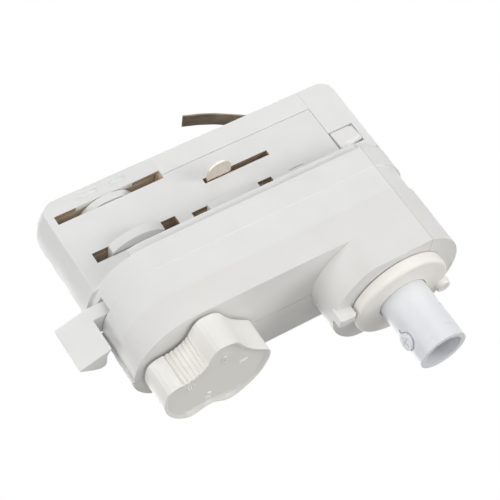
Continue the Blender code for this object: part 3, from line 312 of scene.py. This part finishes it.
# %% A node group for drawn metal
drawn, start, end = new_group(
    "drawn_metal",
    [("Colour", (0.7, 0.7, 0.7, 1.0)), ("Streak Colour", (0.5, 0.5, 0.5, 1.0)), ("Along X", 120.0),
     ("Along Y", 2400.0), ("Along Z", 2400.0), ("Gloss Low", 0.2), ("Gloss High", 0.4), ("Line Depth", 1.0)],
    [("Colour", "Color"), ("Roughness", "Float"), ("Height", "Float")])
place = add(drawn, "TexCoord").outputs["Object"]
stretch = add(drawn, "CombineXYZ")
for label, axis in (("Along X", "X"), ("Along Y", "Y"), ("Along Z", "Z")):
    drawn.links.new(start.outputs[label], stretch.inputs[axis])
scaled = add(drawn, "VectorMath", operation="MULTIPLY")
drawn.links.new(place, scaled.inputs[0])
drawn.links.new(stretch.outputs["Vector"], scaled.inputs[1])
streaks = noise(drawn, scaled.outputs["Vector"], 1.0, 4.0, 0.6)
stain = noise(drawn, place, 260.0, 3.0)
both = add(drawn, "Math", operation="MULTIPLY_ADD")
both.inputs[1].default_value = 0.6
drawn.links.new(streaks.outputs["Fac"], both.inputs[0])
drawn.links.new(map_range(drawn, stain.outputs["Fac"], 0.3, 0.7, 0.0, 0.4), both.inputs[2])
share = map_range(drawn, both.outputs["Value"], 0.2, 0.8, 0.0, 1.0)
drawn.links.new(mix_colour(drawn, share, start.outputs["Colour"], start.outputs["Streak Colour"]),
                end.inputs["Colour"])
drawn.links.new(map_range(drawn, both.outputs["Value"], 0.2, 0.8, start.outputs["Gloss Low"],
                          start.outputs["Gloss High"]), end.inputs["Roughness"])
depth = add(drawn, "Math", operation="MULTIPLY")
drawn.links.new(streaks.outputs["Fac"], depth.inputs[0])
drawn.links.new(start.outputs["Line Depth"], depth.inputs[1])
drawn.links.new(depth.outputs["Value"], end.inputs["Height"])
print("group", drawn.name, "with", len(drawn.nodes), "nodes")


# %% Metals and paint
def metal(name, colour, streak_colour, along, gloss):
    return grouped_material(name, drawn, {
        "Colour": linear(*colour), "Streak Colour": linear(*streak_colour), "Along X": along[0],
        "Along Y": along[1], "Along Z": along[2], "Gloss Low": gloss[0], "Gloss High": gloss[1]},
        metallic=1.0, bump=0.00001)


METALS = {
    "tinned_contact": metal(
        "tinned_contact", (238, 231, 221), (216, 207, 192), (900.0, 160.0, 900.0), (0.25, 0.4)),
    "strip_steel": metal(
        "strip_steel", (158, 144, 126), (106, 94, 80), (140.0, 2600.0, 300.0), (0.3, 0.5)),
    "zinc_screw": metal(
        "zinc_screw", (206, 206, 202), (168, 168, 164), (1400.0, 1400.0, 1400.0), (0.25, 0.42)),
}
stem_paint = plastic("stem_paint", (238, 239, 242), (234, 236, 240), (0.26, 0.36), 1800.0, 0.5, 0.5)
print("metals:", ", ".join(METALS))

# %% [markdown]
# ## Moulded shells
# The shells were designed as sharp-edged solids. Real mouldings have small rounded edges, and those
# edges catch the light, which is most of what makes a white part readable. So each shell starts as a
# copy of its construction solid, with its loose triangles merged, and a bevel rounds each sharp edge.
# Seams and rooms need more. A seam between two shells is only a hair wide on the real part, so the
# faces beside it move a little closer together, and their edges stay crisp. The shade in the rooms inside
# the tongue, which shows through the slots, is painted on their walls in tan and brown.

# %% Seams: axis, where the solid ends, how far its face moves, and its edges' share of the rounding
PARTING_Z = -18.7
SEAM_Y = 2.4
COVER_LEFT_X, COVER_Z, CAP_X = -41.3, 20.8, 8.4
HALF_GAP = 0.15
CLOSE, COVER_CLOSE, COVER_END_CLOSE, CAP_CLOSE = 0.125, 0.145, 0.29, 0.14
CRISP, FLUSH = 0.25, 0.0
BODY_SEAMS = [(2, PARTING_Z + HALF_GAP, -CLOSE, CRISP)]
BASE_SEAMS = [(2, PARTING_Z - HALF_GAP, CLOSE, CRISP)]
FRONT_SEAM = [(1, SEAM_Y - HALF_GAP, CLOSE / 3, CRISP)]
REAR_SEAM = [(1, SEAM_Y + HALF_GAP, -CLOSE / 3, CRISP)]
COVER_END = [(0, COVER_LEFT_X - HALF_GAP, 0.0, FLUSH)]
COVER_SEAMS = [(2, COVER_Z + HALF_GAP, -COVER_CLOSE, CRISP),
               (0, COVER_LEFT_X + HALF_GAP, -COVER_END_CLOSE, FLUSH),
               (0, CAP_X - HALF_GAP, CAP_CLOSE, CRISP)]
CAP_SEAMS = [(0, CAP_X + HALF_GAP, -CAP_CLOSE, CRISP), (2, 2 * HALF_GAP, -CLOSE, CRISP)]
print("gap left at the parting seam in mm:", round(2 * (HALF_GAP - CLOSE), 2))


# %% A copy to work on, and a way to select its parts
SAME_PLACE = 0.02


def free_copy(node):
    """Copy of a construction solid, free of the frame's settings, with its loose triangles merged."""
    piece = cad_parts[node].copy()
    piece.data = piece.data.copy()
    piece.parent = None
    for key in list(piece.keys()):
        del piece[key]
    bpy.context.scene.collection.objects.link(piece)
    activate(piece)
    bpy.ops.object.mode_set(mode="EDIT")
    bpy.ops.mesh.select_all(action="SELECT")
    bpy.ops.mesh.remove_doubles(threshold=SAME_PLACE / 10 * MM)
    bpy.ops.object.mode_set(mode="OBJECT")
    return piece


def pick(piece, kind, test):
    """Go to edit mode with only the wanted vertices, edges or faces selected."""
    activate(piece)
    bpy.ops.object.mode_set(mode="EDIT")
    bpy.ops.mesh.select_mode(type={"verts": "VERT", "edges": "EDGE", "faces": "FACE"}[kind])
    bpy.ops.mesh.select_all(action="DESELECT")
    mesh = bmesh.from_edit_mesh(piece.data)
    for part in getattr(mesh, kind):
        if test(part):
            part.select_set(True)
    mesh.select_flush_mode()
    bmesh.update_edit_mesh(piece.data)


# %% Closing the seams and rounding the edges
def close_seams(piece, seams):
    """Move the faces at each seam towards the neighbouring shell."""
    for axis, place, step, _ in seams:
        pick(piece, "verts", lambda vert: abs(vert.co[axis] / MM - place) < SAME_PLACE)
        bpy.ops.transform.translate(value=[step * MM if axis == i else 0 for i in range(3)])
        bpy.ops.object.mode_set(mode="OBJECT")


def soften(piece, width, angle, seams):
    """Round all sharp edges, those along a seam with a smaller radius."""
    def share(edge):
        if edge.calc_face_angle(0.0) < math.radians(angle):
            return 0.0
        return min([1.0] + [
            rounding for axis, place, step, rounding in seams
            if all(abs(vert.co[axis] / MM - place - step) < SAME_PLACE for vert in edge.verts)])

    mesh = bmesh.new()
    mesh.from_mesh(piece.data)
    weights = [share(edge) for edge in mesh.edges]
    mesh.free()
    piece.data.attributes.new("bevel_weight_edge", "FLOAT", "EDGE").data.foreach_set("value", weights)
    bevel = piece.modifiers.new("Edges", "BEVEL")
    bevel.width = width * MM
    bevel.segments = 2
    bevel.limit_method = "WEIGHT"
    bevel.miter_outer = "MITER_ARC"
    bevel.use_clamp_overlap = True
    apply_all(piece)


# %% The finishes inside the tongue, where the shade is painted
INNER_WALL, WALL_IN, OUTER_WALL = 7.5, 8.5, 9.0
ROOMS_LEFT_X, ROOMS_RIGHT_X = -76.0, 7.6
TONGUE_TOP = 27.4
PHASE_CEILING_Z = 22.4
PALE_PART = (-68.3, -50.2)
# Material indices: white, then the tan and the brown of painted shade.
WHITE, TAN_SHADE, BROWN_SHADE = 0, 1, 2


def inside_tongue(place, normal):
    """Which finish a face has: white outside, painted tan shade in the rooms, painted brown shade in the
    slots' thickness.
    """
    in_rooms = ROOMS_LEFT_X < place.x < ROOMS_RIGHT_X and 0.2 < place.z < TONGUE_TOP - 0.5
    if not in_rooms or abs(place.y) >= WALL_IN:
        return WHITE
    if abs(place.y) < INNER_WALL:
        return TAN_SHADE
    ceiling = normal.z < -0.9 and abs(place.z - PHASE_CEILING_Z) < 0.1
    return WHITE if ceiling and PALE_PART[0] < place.x < PALE_PART[1] else BROWN_SHADE


def in_phase_ceiling(face):
    place = face.calc_center_median() / MM
    return (face.normal.z < -0.9 and INNER_WALL < abs(place.y) < OUTER_WALL
            and abs(place.z - PHASE_CEILING_Z) < 0.05)


def part_ceiling(piece):
    """Cut the ceiling of the phase contact's slot into a white middle and two ends of painted brown shade.
    """
    for x in PALE_PART:
        pick(piece, "faces", in_phase_ceiling)
        bpy.ops.mesh.bisect(plane_co=mm(x, 0, 0), plane_no=(1, 0, 0))
        bpy.ops.object.mode_set(mode="OBJECT")


# %% Soft-edged copies
SMOOTH_MARGIN = 5


def soft_copy(node, name, width, material, angle=30, seams=(), inner=None):
    """Copy of a construction solid with rounded edges, which stands for it."""
    piece = free_copy(node)
    if inner:
        part_ceiling(piece)
    close_seams(piece, seams)
    soften(piece, width, angle, seams)
    piece.data.materials.clear()
    piece.data.materials.append(material)
    if inner:
        # The rooms' walls get tan painted shade, and the slots' thickness gets brown painted shade.
        piece.data.materials.append(PLASTICS["painted_shade_tan"])
        piece.data.materials.append(PLASTICS["painted_shade_brown"])
        for face in piece.data.polygons:
            face.material_index = inner(Vector(face.center) / MM, face.normal)
    settle(piece, name, angle + SMOOTH_MARGIN)
    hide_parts(node)
    return piece


def carried(piece, body):
    """Say which body the piece rides on."""
    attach(piece, body)


# %% The shells of case and tongue
SHELL_EDGE, SHELL_ANGLE = 0.22, 17
SHELLS = (
    ("body_front", "front_shell", "housing_white", BODY_SEAMS + FRONT_SEAM + COVER_END, inside_tongue),
    ("body_rear", "rear_shell", "housing_white", BODY_SEAMS + REAR_SEAM, inside_tongue),
    ("base_front", "front_base", "base_white", BASE_SEAMS + FRONT_SEAM, None),
    ("base_rear", "rear_base", "base_white", BASE_SEAMS + REAR_SEAM, None),
    ("top_cover", "cover", "cover_white", COVER_SEAMS, None),
    ("end_cap", "cap", "cover_white", CAP_SEAMS, None),
)
for node, name, finish_name, seams, inner in SHELLS:
    shell = soft_copy(node, name, SHELL_EDGE, PLASTICS[finish_name], SHELL_ANGLE, seams, inner)
    carried(shell, "housing")

# %% [markdown]
# The lever, the two cams, the drum and the latch are moulded too, but they have no seams. Their solids
# already have the right shape, so they get soft edges, and later the latch gets its notches. Each rides
# on a moving body, and turns or slides with it.

# %% Moving pieces that start from their solids
MOVING = (
    ("lock_lever", "lever", "lever_white", 0.35, "lock", "lever"),
    ("lock_sleeve", "lock_cam", "cam_white", 0.25, "lock", "cam"),
    ("neutral_spindle", "neutral_cam", "cam_white", 0.25, "neutral", "cam"),
    ("selector_shaft", "drum", "cam_white", 0.2, "selector", "cam"),
    ("latch_block", "latch", "latch_white", 0.25, "latch", "latch"),
)
for node, name, finish_name, edge, body, slot in MOVING:
    carried(soft_copy(node, name, edge, PLASTICS[finish_name]), body)
latch = bpy.data.objects["latch"]
print("moving pieces:", len(MOVING))

# %% [markdown]
# ## Modelling by hand
# The knob, the stem with its screw and collar, the neutral contact and the earth strip are modelled
# anew. All but the knob start from one primitive at its real size and place. A boring tool cuts, a
# joining tool adds, and both are used up.


# %% Primitives, cutting and joining
def rod(radius, start, end, sides=48):
    """Cylinder between two points."""
    way = Vector(end) - Vector(start)
    deselect()
    bpy.ops.mesh.primitive_cylinder_add(
        vertices=sides, radius=radius * MM, depth=way.length * MM,
        location=(Vector(start) + Vector(end)) / 2 * MM, rotation=way.to_track_quat("Z", "Y").to_euler())
    return bpy.context.object


def block(low, high, turn=0.0):
    """Box between two corners, turned about the stem's axis."""
    low, high = Vector(low), Vector(high)
    way = Matrix.Rotation(math.radians(turn), 3, "Z")
    deselect()
    bpy.ops.mesh.primitive_cube_add(size=1.0, location=way @ (low + high) / 2 * MM,
                                    rotation=(0.0, 0.0, math.radians(turn)), scale=(high - low) * MM)
    return bpy.context.object


def work(piece, tools, operation):
    """Cut or join with tools, which are used up."""
    for tool in tools:
        step = piece.modifiers.new(tool.name, "BOOLEAN")
        step.operation = operation
        step.solver = "EXACT"
        step.object = tool
    apply_all(piece)
    for tool in tools:
        bpy.data.objects.remove(tool)


def round_off(piece, width, segments=3, angle=30):
    """Round every edge that is sharper than an angle in degrees."""
    bevel = piece.modifiers.new("Edges", "BEVEL")
    bevel.width = width * MM
    bevel.segments = segments
    bevel.limit_method = "ANGLE"
    bevel.angle_limit = math.radians(angle)
    apply_all(piece)


def dress(piece, name, material, node, body, smooth=35):
    """Give a new piece its finish, hide the solid that it stands for, and say what it rides on."""
    piece.data.materials.clear()
    piece.data.materials.append(material)
    settle(piece, name, smooth)
    if node:
        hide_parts(node)
    carried(piece, body)


# %% [markdown]
# The mould's line is a real groove, not only a line of painted shade. A thin rod that stands just outside
# the near wall cuts it, once in the shell and once in the base. The shells are settled again after the
# cut, because new faces need their own smooth shading.

# %% Groove of the mould's line
GROOVE_R, GROOVE_Y = 0.16, -18.04
RAIL_LOW, BASE_LOW = -2.0, -39.0
for name, high, low in (("front_shell", RAIL_LOW, PARTING_Z), ("front_base", PARTING_Z, BASE_LOW)):
    shell = bpy.data.objects[name]
    groove = rod(GROOVE_R, (MOULD_LINE_X, GROOVE_Y, low), (MOULD_LINE_X, GROOVE_Y, high), 12)
    work(shell, [groove], "DIFFERENCE")
    settle(shell, name, SHELL_ANGLE + SMOOTH_MARGIN)

# %% [markdown]
# The latch has two notches in its near face, one low and one high. A block cuts each.

# %% Notches in the latch: left end, lower and upper face
NOTCH_OUT, NOTCH_IN, LATCH_RIGHT_X = -10, -7.6, 17.6
notches = [block((left, NOTCH_OUT, low), (LATCH_RIGHT_X, NOTCH_IN, high))
           for left, low, high in ((13.5, 3.0, 4.55), (15.3, 9.95, 11.0))]
work(latch, notches, "DIFFERENCE")
settle(latch, "latch")

# %% [markdown]
# ## The selector knob
# The knob is a thick disc with three hollows for the fingers. The hollow that the thumb pushes has fine
# upright grip grooves, and the face is slightly sunk and carries raised numbers. The solid gives the
# outline; each groove is cut by a thin rod that stands on the hollow's arc.

# %% Knob
KNOB_X = -58.8
KNOB_LOW, KNOB_HIGH = -39.0, -28.6
RIM, DISH = 0.7, 0.8
knob = free_copy("selector_knob")
pick(knob, "faces", lambda face: face.normal.z < -0.95
     and face.calc_center_median().z / MM < KNOB_LOW + SAME_PLACE)
bpy.ops.mesh.inset(thickness=RIM * MM, depth=0.0)
bpy.ops.mesh.inset(thickness=RIM * MM, depth=-DISH * MM)
bpy.ops.object.mode_set(mode="OBJECT")
print("sunk by", DISH, "mm")

# %% Grip grooves
HOLLOW_X, HOLLOW_Y, HOLLOW_R = -71.32, -15.47, 9.4
GRIPS, GRIP_R, GRIP_DEPTH = 7, 0.42, 0.32
GRIP_FIRST, GRIP_STEP = 82, 8.6
reach = HOLLOW_R + GRIP_DEPTH - GRIP_R
grooves = []
for count in range(GRIPS):
    around = math.radians(GRIP_FIRST - GRIP_STEP * count)
    x, y = HOLLOW_X + reach * math.cos(around), HOLLOW_Y + reach * math.sin(around)
    grooves.append(rod(GRIP_R, (x, y, KNOB_LOW - 1), (x, y, KNOB_HIGH + 1), 24))
work(knob, grooves, "DIFFERENCE")
print("knob faces:", len(knob.data.polygons))

# %% [markdown]
# The numbers say which phase the spotlight takes. Text is an object of its own kind, so each number is
# written, made thick, turned to a mesh and joined to the knob. Turned by half a turn about X, it reads
# from below, where the user stands.

# %% Raised numbers on the knob
NUMBER_REACH, NUMBER_SIZE, NUMBER_HEIGHT = 8.6, 3.8, 0.3
NUMBERS = {"0": 280.0, "1": 346.0, "2": 103.0, "3": 188.0}


def number(text, around):
    """Raised number on the knob's sunk face, at an angle in degrees about the knob's axis."""
    way = Vector((math.cos(math.radians(around)), math.sin(math.radians(around)), 0))
    deselect()
    bpy.ops.object.text_add(
        location=(way * NUMBER_REACH + Vector((KNOB_X, 0, KNOB_LOW + DISH - 0.1))) * MM,
        rotation=(math.pi, 0.0, math.radians(around - 90)))
    piece = bpy.context.object
    piece.data.body = text
    piece.data.size = NUMBER_SIZE * MM
    piece.data.align_x = "CENTER"
    piece.data.align_y = "CENTER"
    piece.data.extrude = NUMBER_HEIGHT * MM
    piece.data.resolution_u = 3
    bpy.ops.object.convert(target="MESH")
    return bpy.context.object


numbers = [number(text, around) for text, around in NUMBERS.items()]
deselect()
for piece in numbers + [knob]:
    piece.select_set(True)
bpy.context.view_layer.objects.active = knob
bpy.ops.object.join()
dress(knob, "knob", PLASTICS["knob_white"], "selector_knob", "selector", smooth=20)

# %% [markdown]
# ## Stem, screw and collar
# The stem is a painted tube. Its two end faces are inset by the wall's thickness, and a bridge between
# the two inset faces makes the bore. A flat seat is bored for the side screw, with a small hole above.

# %% Stem
STEM_R, WALL, STEM_LOW, STEM_TOP = 7.45, 1.55, -61.8, -32.7
stem = rod(STEM_R, (0, 0, STEM_LOW), (0, 0, STEM_TOP), 96)
pick(stem, "faces", lambda face: abs(face.normal.z) > 0.9)
bpy.ops.mesh.inset(thickness=WALL * MM, depth=0.0)
bpy.ops.mesh.bridge_edge_loops()
bpy.ops.object.mode_set(mode="OBJECT")
print("bore in mm:", round(2 * (STEM_R - WALL), 1))

# %% Holes in the stem for the side screw
SCREW_Z, SCREW_TURN = -54.8, 185.0
HOLE_R, SEAT_R, SEAT_REACH = 1.8, 2.9, 6.9
SMALL_HOLE_R, SMALL_HOLE_RISE = 0.6, 3.5
INSIDE, BEYOND = 4, 12
out = Vector((math.cos(math.radians(SCREW_TURN)), math.sin(math.radians(SCREW_TURN)), 0))
middle = Vector((0, 0, SCREW_Z))
above = middle + Vector((0, 0, SMALL_HOLE_RISE))
work(stem, [rod(HOLE_R, middle + out * INSIDE, middle + out * BEYOND, 24),
            rod(SEAT_R, middle + out * SEAT_REACH, middle + out * BEYOND, 40),
            rod(SMALL_HOLE_R, above + out * INSIDE, above + out * BEYOND, 16)], "DIFFERENCE")
round_off(stem, 0.35, 3, 50)
dress(stem, "stem_tube", stem_paint, "stem", "swivel")

# %% [markdown]
# The side screw is painted with the stem. Its head and its shank are two rods joined, and two thin
# blocks, one across the other, cut the cross that the screwdriver takes.

# %% Side screw of the stem
HEAD_R, HEAD_LOW, HEAD_TOP = 2.6, 7.2, 8.1
SHANK_R, SHANK_END = 1.5, 4.7
CROSS_LOW, CROSS_TOP, CROSS_LONG, CROSS_THIN = 7.7, 9.0, 1.7, 0.3
screw = rod(HEAD_R, middle + out * HEAD_LOW, middle + out * HEAD_TOP, 40)
work(screw, [rod(SHANK_R, middle + out * SHANK_END, middle + out * CROSS_LOW, 24)], "UNION")
cross = [block((CROSS_LOW, -wide, SCREW_Z - tall), (CROSS_TOP, wide, SCREW_Z + tall), SCREW_TURN)
         for wide, tall in ((CROSS_LONG, CROSS_THIN), (CROSS_THIN, CROSS_LONG))]
work(screw, cross, "DIFFERENCE")
round_off(screw, 0.14, 2, 40)
dress(screw, "side_screw", stem_paint, "stem_screw", "swivel")

# %% [markdown]
# The collar turns with the stem under the boss, and its pin meets the boss's lug at both ends of the
# swivel. The ring is bored as the stem was, its lower edge is rounded wide, and the pin is a rod with
# a rounded end that is joined to it.

# %% Collar with its pin
RING_R, RING_LOW, RING_TOP = 15.2, -42.3, -38.8
RING_EDGE, PIN_EDGE = 1.1, 0.7
PIN_R, PIN_REACH, PIN_TURN, PIN_LOW = 2.35, 14.5, math.radians(13), -43.8
collar = rod(RING_R, (0, 0, RING_LOW), (0, 0, RING_TOP), 96)
pick(collar, "faces", lambda face: abs(face.normal.z) > 0.9)
bpy.ops.mesh.inset(thickness=(RING_R - STEM_R - 2 * HALF_GAP) * MM, depth=0.0)
bpy.ops.mesh.bridge_edge_loops()
pick(collar, "edges", lambda edge: all(
    vert.co.z < 0 and abs(vert.co.xy.length / MM - RING_R) < 0.05 for vert in edge.verts))
bpy.ops.mesh.bevel(offset=RING_EDGE * MM, segments=5, profile=0.5)
bpy.ops.object.mode_set(mode="OBJECT")
pin_x, pin_y = PIN_REACH * math.cos(PIN_TURN), PIN_REACH * math.sin(PIN_TURN)
pin = rod(PIN_R, (pin_x, pin_y, PIN_LOW), (pin_x, pin_y, RING_TOP - 0.3), 32)
pick(pin, "edges", lambda edge: all(vert.co.z < 0 for vert in edge.verts))
bpy.ops.mesh.bevel(offset=PIN_EDGE * MM, segments=4, profile=0.5)
bpy.ops.object.mode_set(mode="OBJECT")
work(collar, [pin], "UNION")
round_off(collar, 0.25, 2, 35)
dress(collar, "collar", PLASTICS["collar_cream"], "stem_collar", "swivel")

# %% [markdown]
# ## Contacts and strip
# The neutral contact is a thin tinned plate with a round nose, bored square for its spindle. It is two
# round plates and a straight piece between them, joined.

# %% Neutral contact
NEUTRAL_X, NOSE_R, NOSE_Y = -27.8, 3.9, -11.9
NOSE_LOW, NOSE_HIGH = 12.5, 13.1
SQUARE = 1.9
nose = rod(NOSE_R, (NEUTRAL_X, NOSE_Y, NOSE_LOW), (NEUTRAL_X, NOSE_Y, NOSE_HIGH), 64)
work(nose, [rod(NOSE_R, (NEUTRAL_X, 0, NOSE_LOW), (NEUTRAL_X, 0, NOSE_HIGH), 64),
            block((NEUTRAL_X - NOSE_R, NOSE_Y, NOSE_LOW), (NEUTRAL_X + NOSE_R, 0, NOSE_HIGH))], "UNION")
work(nose, [block((NEUTRAL_X - SQUARE, -SQUARE, NOSE_LOW - 1), (NEUTRAL_X + SQUARE, SQUARE, NOSE_HIGH + 1))],
     "DIFFERENCE")
round_off(nose, 0.12, 2, 50)
dress(nose, "neutral_nose", METALS["tinned_contact"], "neutral_contact", "neutral")

# %% [markdown]
# The earth strip is sprung sheet steel that leans out of the cover. A plane is laid on the first length
# of the strip's way, its end is extruded along the rest, and its bends are rounded. A Solidify modifier
# then gives it the thickness of the sheet, which a bent sheet keeps everywhere.

# %% Earth strip
STRIP_W, STRIP_T = 5.0, 0.45
STRIP_BEND, STRIP_HOLE_R, STRIP_HOLE_X = 1.1, 1.4, -1.0
STRIP_WAY = ((-22.7, 39.9), (-18.0, 38.2), (-13.6, 36.1), (3.2, 25.35), (5.0, 23.55), (5.6, 21.15),
             (5.6, 1.73), (4.4, 0.53), (-4.0, 0.53))
deselect()
bpy.ops.mesh.primitive_plane_add(size=STRIP_W * MM, location=(0.0, 0.0, 0.0))
strip = bpy.context.object
half = STRIP_W / 2
for side, (x, z) in zip((-1, 1), STRIP_WAY):
    pick(strip, "verts", lambda vert: abs(vert.co.x / MM - side * half) < SAME_PLACE
         and abs(vert.co.z / MM) < SAME_PLACE)
    bpy.ops.transform.translate(value=mm(x - side * half, 0, z))
for (x0, z0), (x1, z1) in zip(STRIP_WAY[1:], STRIP_WAY[2:]):
    bpy.ops.mesh.extrude_region_move(TRANSFORM_OT_translate={"value": mm(x1 - x0, 0, z1 - z0)})
pick(strip, "edges", lambda edge: not edge.is_boundary)
bpy.ops.mesh.bevel(offset=STRIP_BEND * MM, segments=4, profile=0.5)
bpy.ops.object.mode_set(mode="OBJECT")
sheet = strip.modifiers.new("Sheet", "SOLIDIFY")
sheet.thickness = STRIP_T * MM
sheet.offset = 0.0
apply_all(strip)
work(strip, [rod(STRIP_HOLE_R, (STRIP_HOLE_X, 0, -1), (STRIP_HOLE_X, 0, 2), 24)], "DIFFERENCE")
round_off(strip, 0.08, 2, 50)
dress(strip, "strip", METALS["strip_steel"], "earth_strip", "housing")

# %% [markdown]
# ## Plates of painted shade inside
# Above each cam, the upper phase contact and the neutral contact lies a plate whose tan is painted shade,
# bored for the spindle that passes. The plates are seen only through the slots, where they stop the eye
# from looking into the hollow.

# %% Plates of painted shade: left and right end, lower face, axis of the spindle, and radius of its hole
PLATE_T, PLATE_HALF = 0.5, 7.0
for name, low, high, z, axis_x, hole in (("shade_plate_lock", -74.8, -42.8, 7.35, KNOB_X, 6.1),
                                         ("shade_plate_phase", -74.8, -42.8, 22.7, KNOB_X, 5.9),
                                         ("shade_plate_cam", -40.6, -2.5, 5.8, NEUTRAL_X, 4.6),
                                         ("shade_plate_neutral", -40.6, -2.5, 14.25, NEUTRAL_X, 4.6)):
    plate = block((low, -PLATE_HALF, z), (high, PLATE_HALF, z + PLATE_T))
    work(plate, [rod(hole, (axis_x, 0, z - 2), (axis_x, 0, z + 2), 40)], "DIFFERENCE")
    round_off(plate, 0.12, 1)
    dress(plate, name, PLASTICS["painted_shade_tan"], None, "housing")

# %% [markdown]
# The gears, the spacer, the terminal block, the screws, the stem's nut and the contacts in the drum
# have crisp edges, and their solids show that already. They stay as they are and only get a finish.

# %% Nodes whose shape is right as it is
CARRIED = {
    "lock_gear": PLASTICS["gear_grey"], "neutral_gear": PLASTICS["gear_grey"],
    "neutral_spacer": PLASTICS["gear_grey"], "terminal_block": PLASTICS["terminal_ivory"],
    "terminal_screw_front": METALS["zinc_screw"], "terminal_screw_middle": METALS["zinc_screw"],
    "terminal_screw_rear": METALS["zinc_screw"], "body_screw_left": METALS["zinc_screw"],
    "body_screw_right": METALS["zinc_screw"], "base_screw_left": METALS["zinc_screw"],
    "base_screw_right": METALS["zinc_screw"], "earth_screw": METALS["zinc_screw"],
    "stem_nut": METALS["zinc_screw"], "phase_contact_upper": METALS["tinned_contact"],
    "phase_contact_lower": METALS["tinned_contact"],
}
for node, material in CARRIED.items():
    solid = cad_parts[node]
    solid.data.materials.clear()
    solid.data.materials.append(material)
print("carried with a finish of their own:", len(CARRIED))

# %% [markdown]
# ## Studio
# The adapter hangs in the air above a plain pale floor. The strongest soft lamp stands to the left of
# the camera, and broad ones light the front, the low right, the underside, the top and the back. The
# floor looks pale to the camera alone. The background is white to the camera and in reflections, so
# that metal and gloss show it, and dim for all other light.


# %% Floor
FLOOR_Z, FLOOR_SIZE = -900.0, 4000.0
deselect()
bpy.ops.mesh.primitive_grid_add(x_subdivisions=8, y_subdivisions=8, size=FLOOR_SIZE * MM,
                                location=mm(0, 0, FLOOR_Z))
floor = settle(bpy.context.object, "floor")

# %% Paint of the floor, which glows pale to the camera alone
FLOOR_COLOUR = linear(240, 240, 238)
PALE_SHARE, PALE_STRENGTH = 0.75, 0.9
floor_paint = bpy.data.materials.new("floor_paint")
floor_paint.use_nodes = True
tree = floor_paint.node_tree
paint = tree.nodes["Principled BSDF"]
paint.inputs["Base Color"].default_value = FLOOR_COLOUR
paint.inputs["Roughness"].default_value = 0.9
glow = add(tree, "Emission")
glow.inputs["Color"].default_value = FLOOR_COLOUR
glow.inputs["Strength"].default_value = PALE_STRENGTH
camera_share = add(tree, "Math", operation="MULTIPLY")
camera_share.inputs[1].default_value = PALE_SHARE
tree.links.new(add(tree, "LightPath").outputs["Is Camera Ray"], camera_share.inputs[0])
mix = add(tree, "MixShader")
tree.links.new(camera_share.outputs["Value"], mix.inputs["Fac"])
tree.links.new(paint.outputs["BSDF"], mix.inputs[1])
tree.links.new(glow.outputs["Emission"], mix.inputs[2])
tree.links.new(mix.outputs["Shader"], tree.nodes["Material Output"].inputs["Surface"])
floor.data.materials.append(floor_paint)
print("floor colour:", [round(c, 2) for c in FLOOR_COLOUR[:3]])


# %% Lamps: place, what they point at, width, height, watts
def lamp(name, place, aim, width, height, watts):
    deselect()
    bpy.ops.object.light_add(type="AREA", location=mm(*place))
    light = bpy.context.object
    light.name = name
    light.data.shape = "RECTANGLE"
    light.data.size = width * MM
    light.data.size_y = height * MM
    light.data.energy = watts
    light.rotation_euler = (Vector(place) - Vector(aim)).to_track_quat("Z", "Y").to_euler()
    print("lamp", name, "with", watts, "W")


MIDDLE = (-30.0, 0.0, 0.0)
lamp("front", (220, -720, 160), MIDDLE, 900, 700, 1.8)
lamp("left", (-620, -420, -60), MIDDLE, 800, 700, 3.3)
lamp("low_right", (560, -380, -420), MIDDLE, 400, 400, 2.5)
lamp("low", (0, -450, -560), MIDDLE, 600, 400, 0.6)
lamp("top", (0, 200, 700), MIDDLE, 700, 700, 1.6)
lamp("back", (-200, 800, 360), MIDDLE, 700, 700, 2.4)

# %% [markdown]
# The world has two backgrounds. Surfaces are lit by the dim one. The white one takes its place for the
# rays that come from the camera, through glass or off a gloss, and a strength of 1 is white.

# %% World
LIGHTING, BACKDROP = 0.14, 1.0
world = bpy.data.worlds.new("studio")
bpy.context.scene.world = world
world.use_nodes = True
tree = world.node_tree
tree.nodes.clear()
rays = add(tree, "LightPath")
seen = rays.outputs["Is Camera Ray"]
for kind in ("Is Transmission Ray", "Is Glossy Ray"):
    either = add(tree, "Math", operation="MAXIMUM")
    tree.links.new(seen, either.inputs[0])
    tree.links.new(rays.outputs[kind], either.inputs[1])
    seen = either.outputs["Value"]
blend = add(tree, "MixShader")
tree.links.new(seen, blend.inputs["Fac"])
for socket, strength in ((1, LIGHTING), (2, BACKDROP)):
    background = add(tree, "Background")
    background.inputs["Color"].default_value = (1.0, 1.0, 1.0, 1.0)
    background.inputs["Strength"].default_value = strength
    tree.links.new(background.outputs["Background"], blend.inputs[socket])
tree.links.new(blend.outputs["Shader"], add(tree, "OutputWorld").inputs["Surface"])
bpy.context.scene.view_settings.view_transform = "Standard"
print("world lights at", LIGHTING)
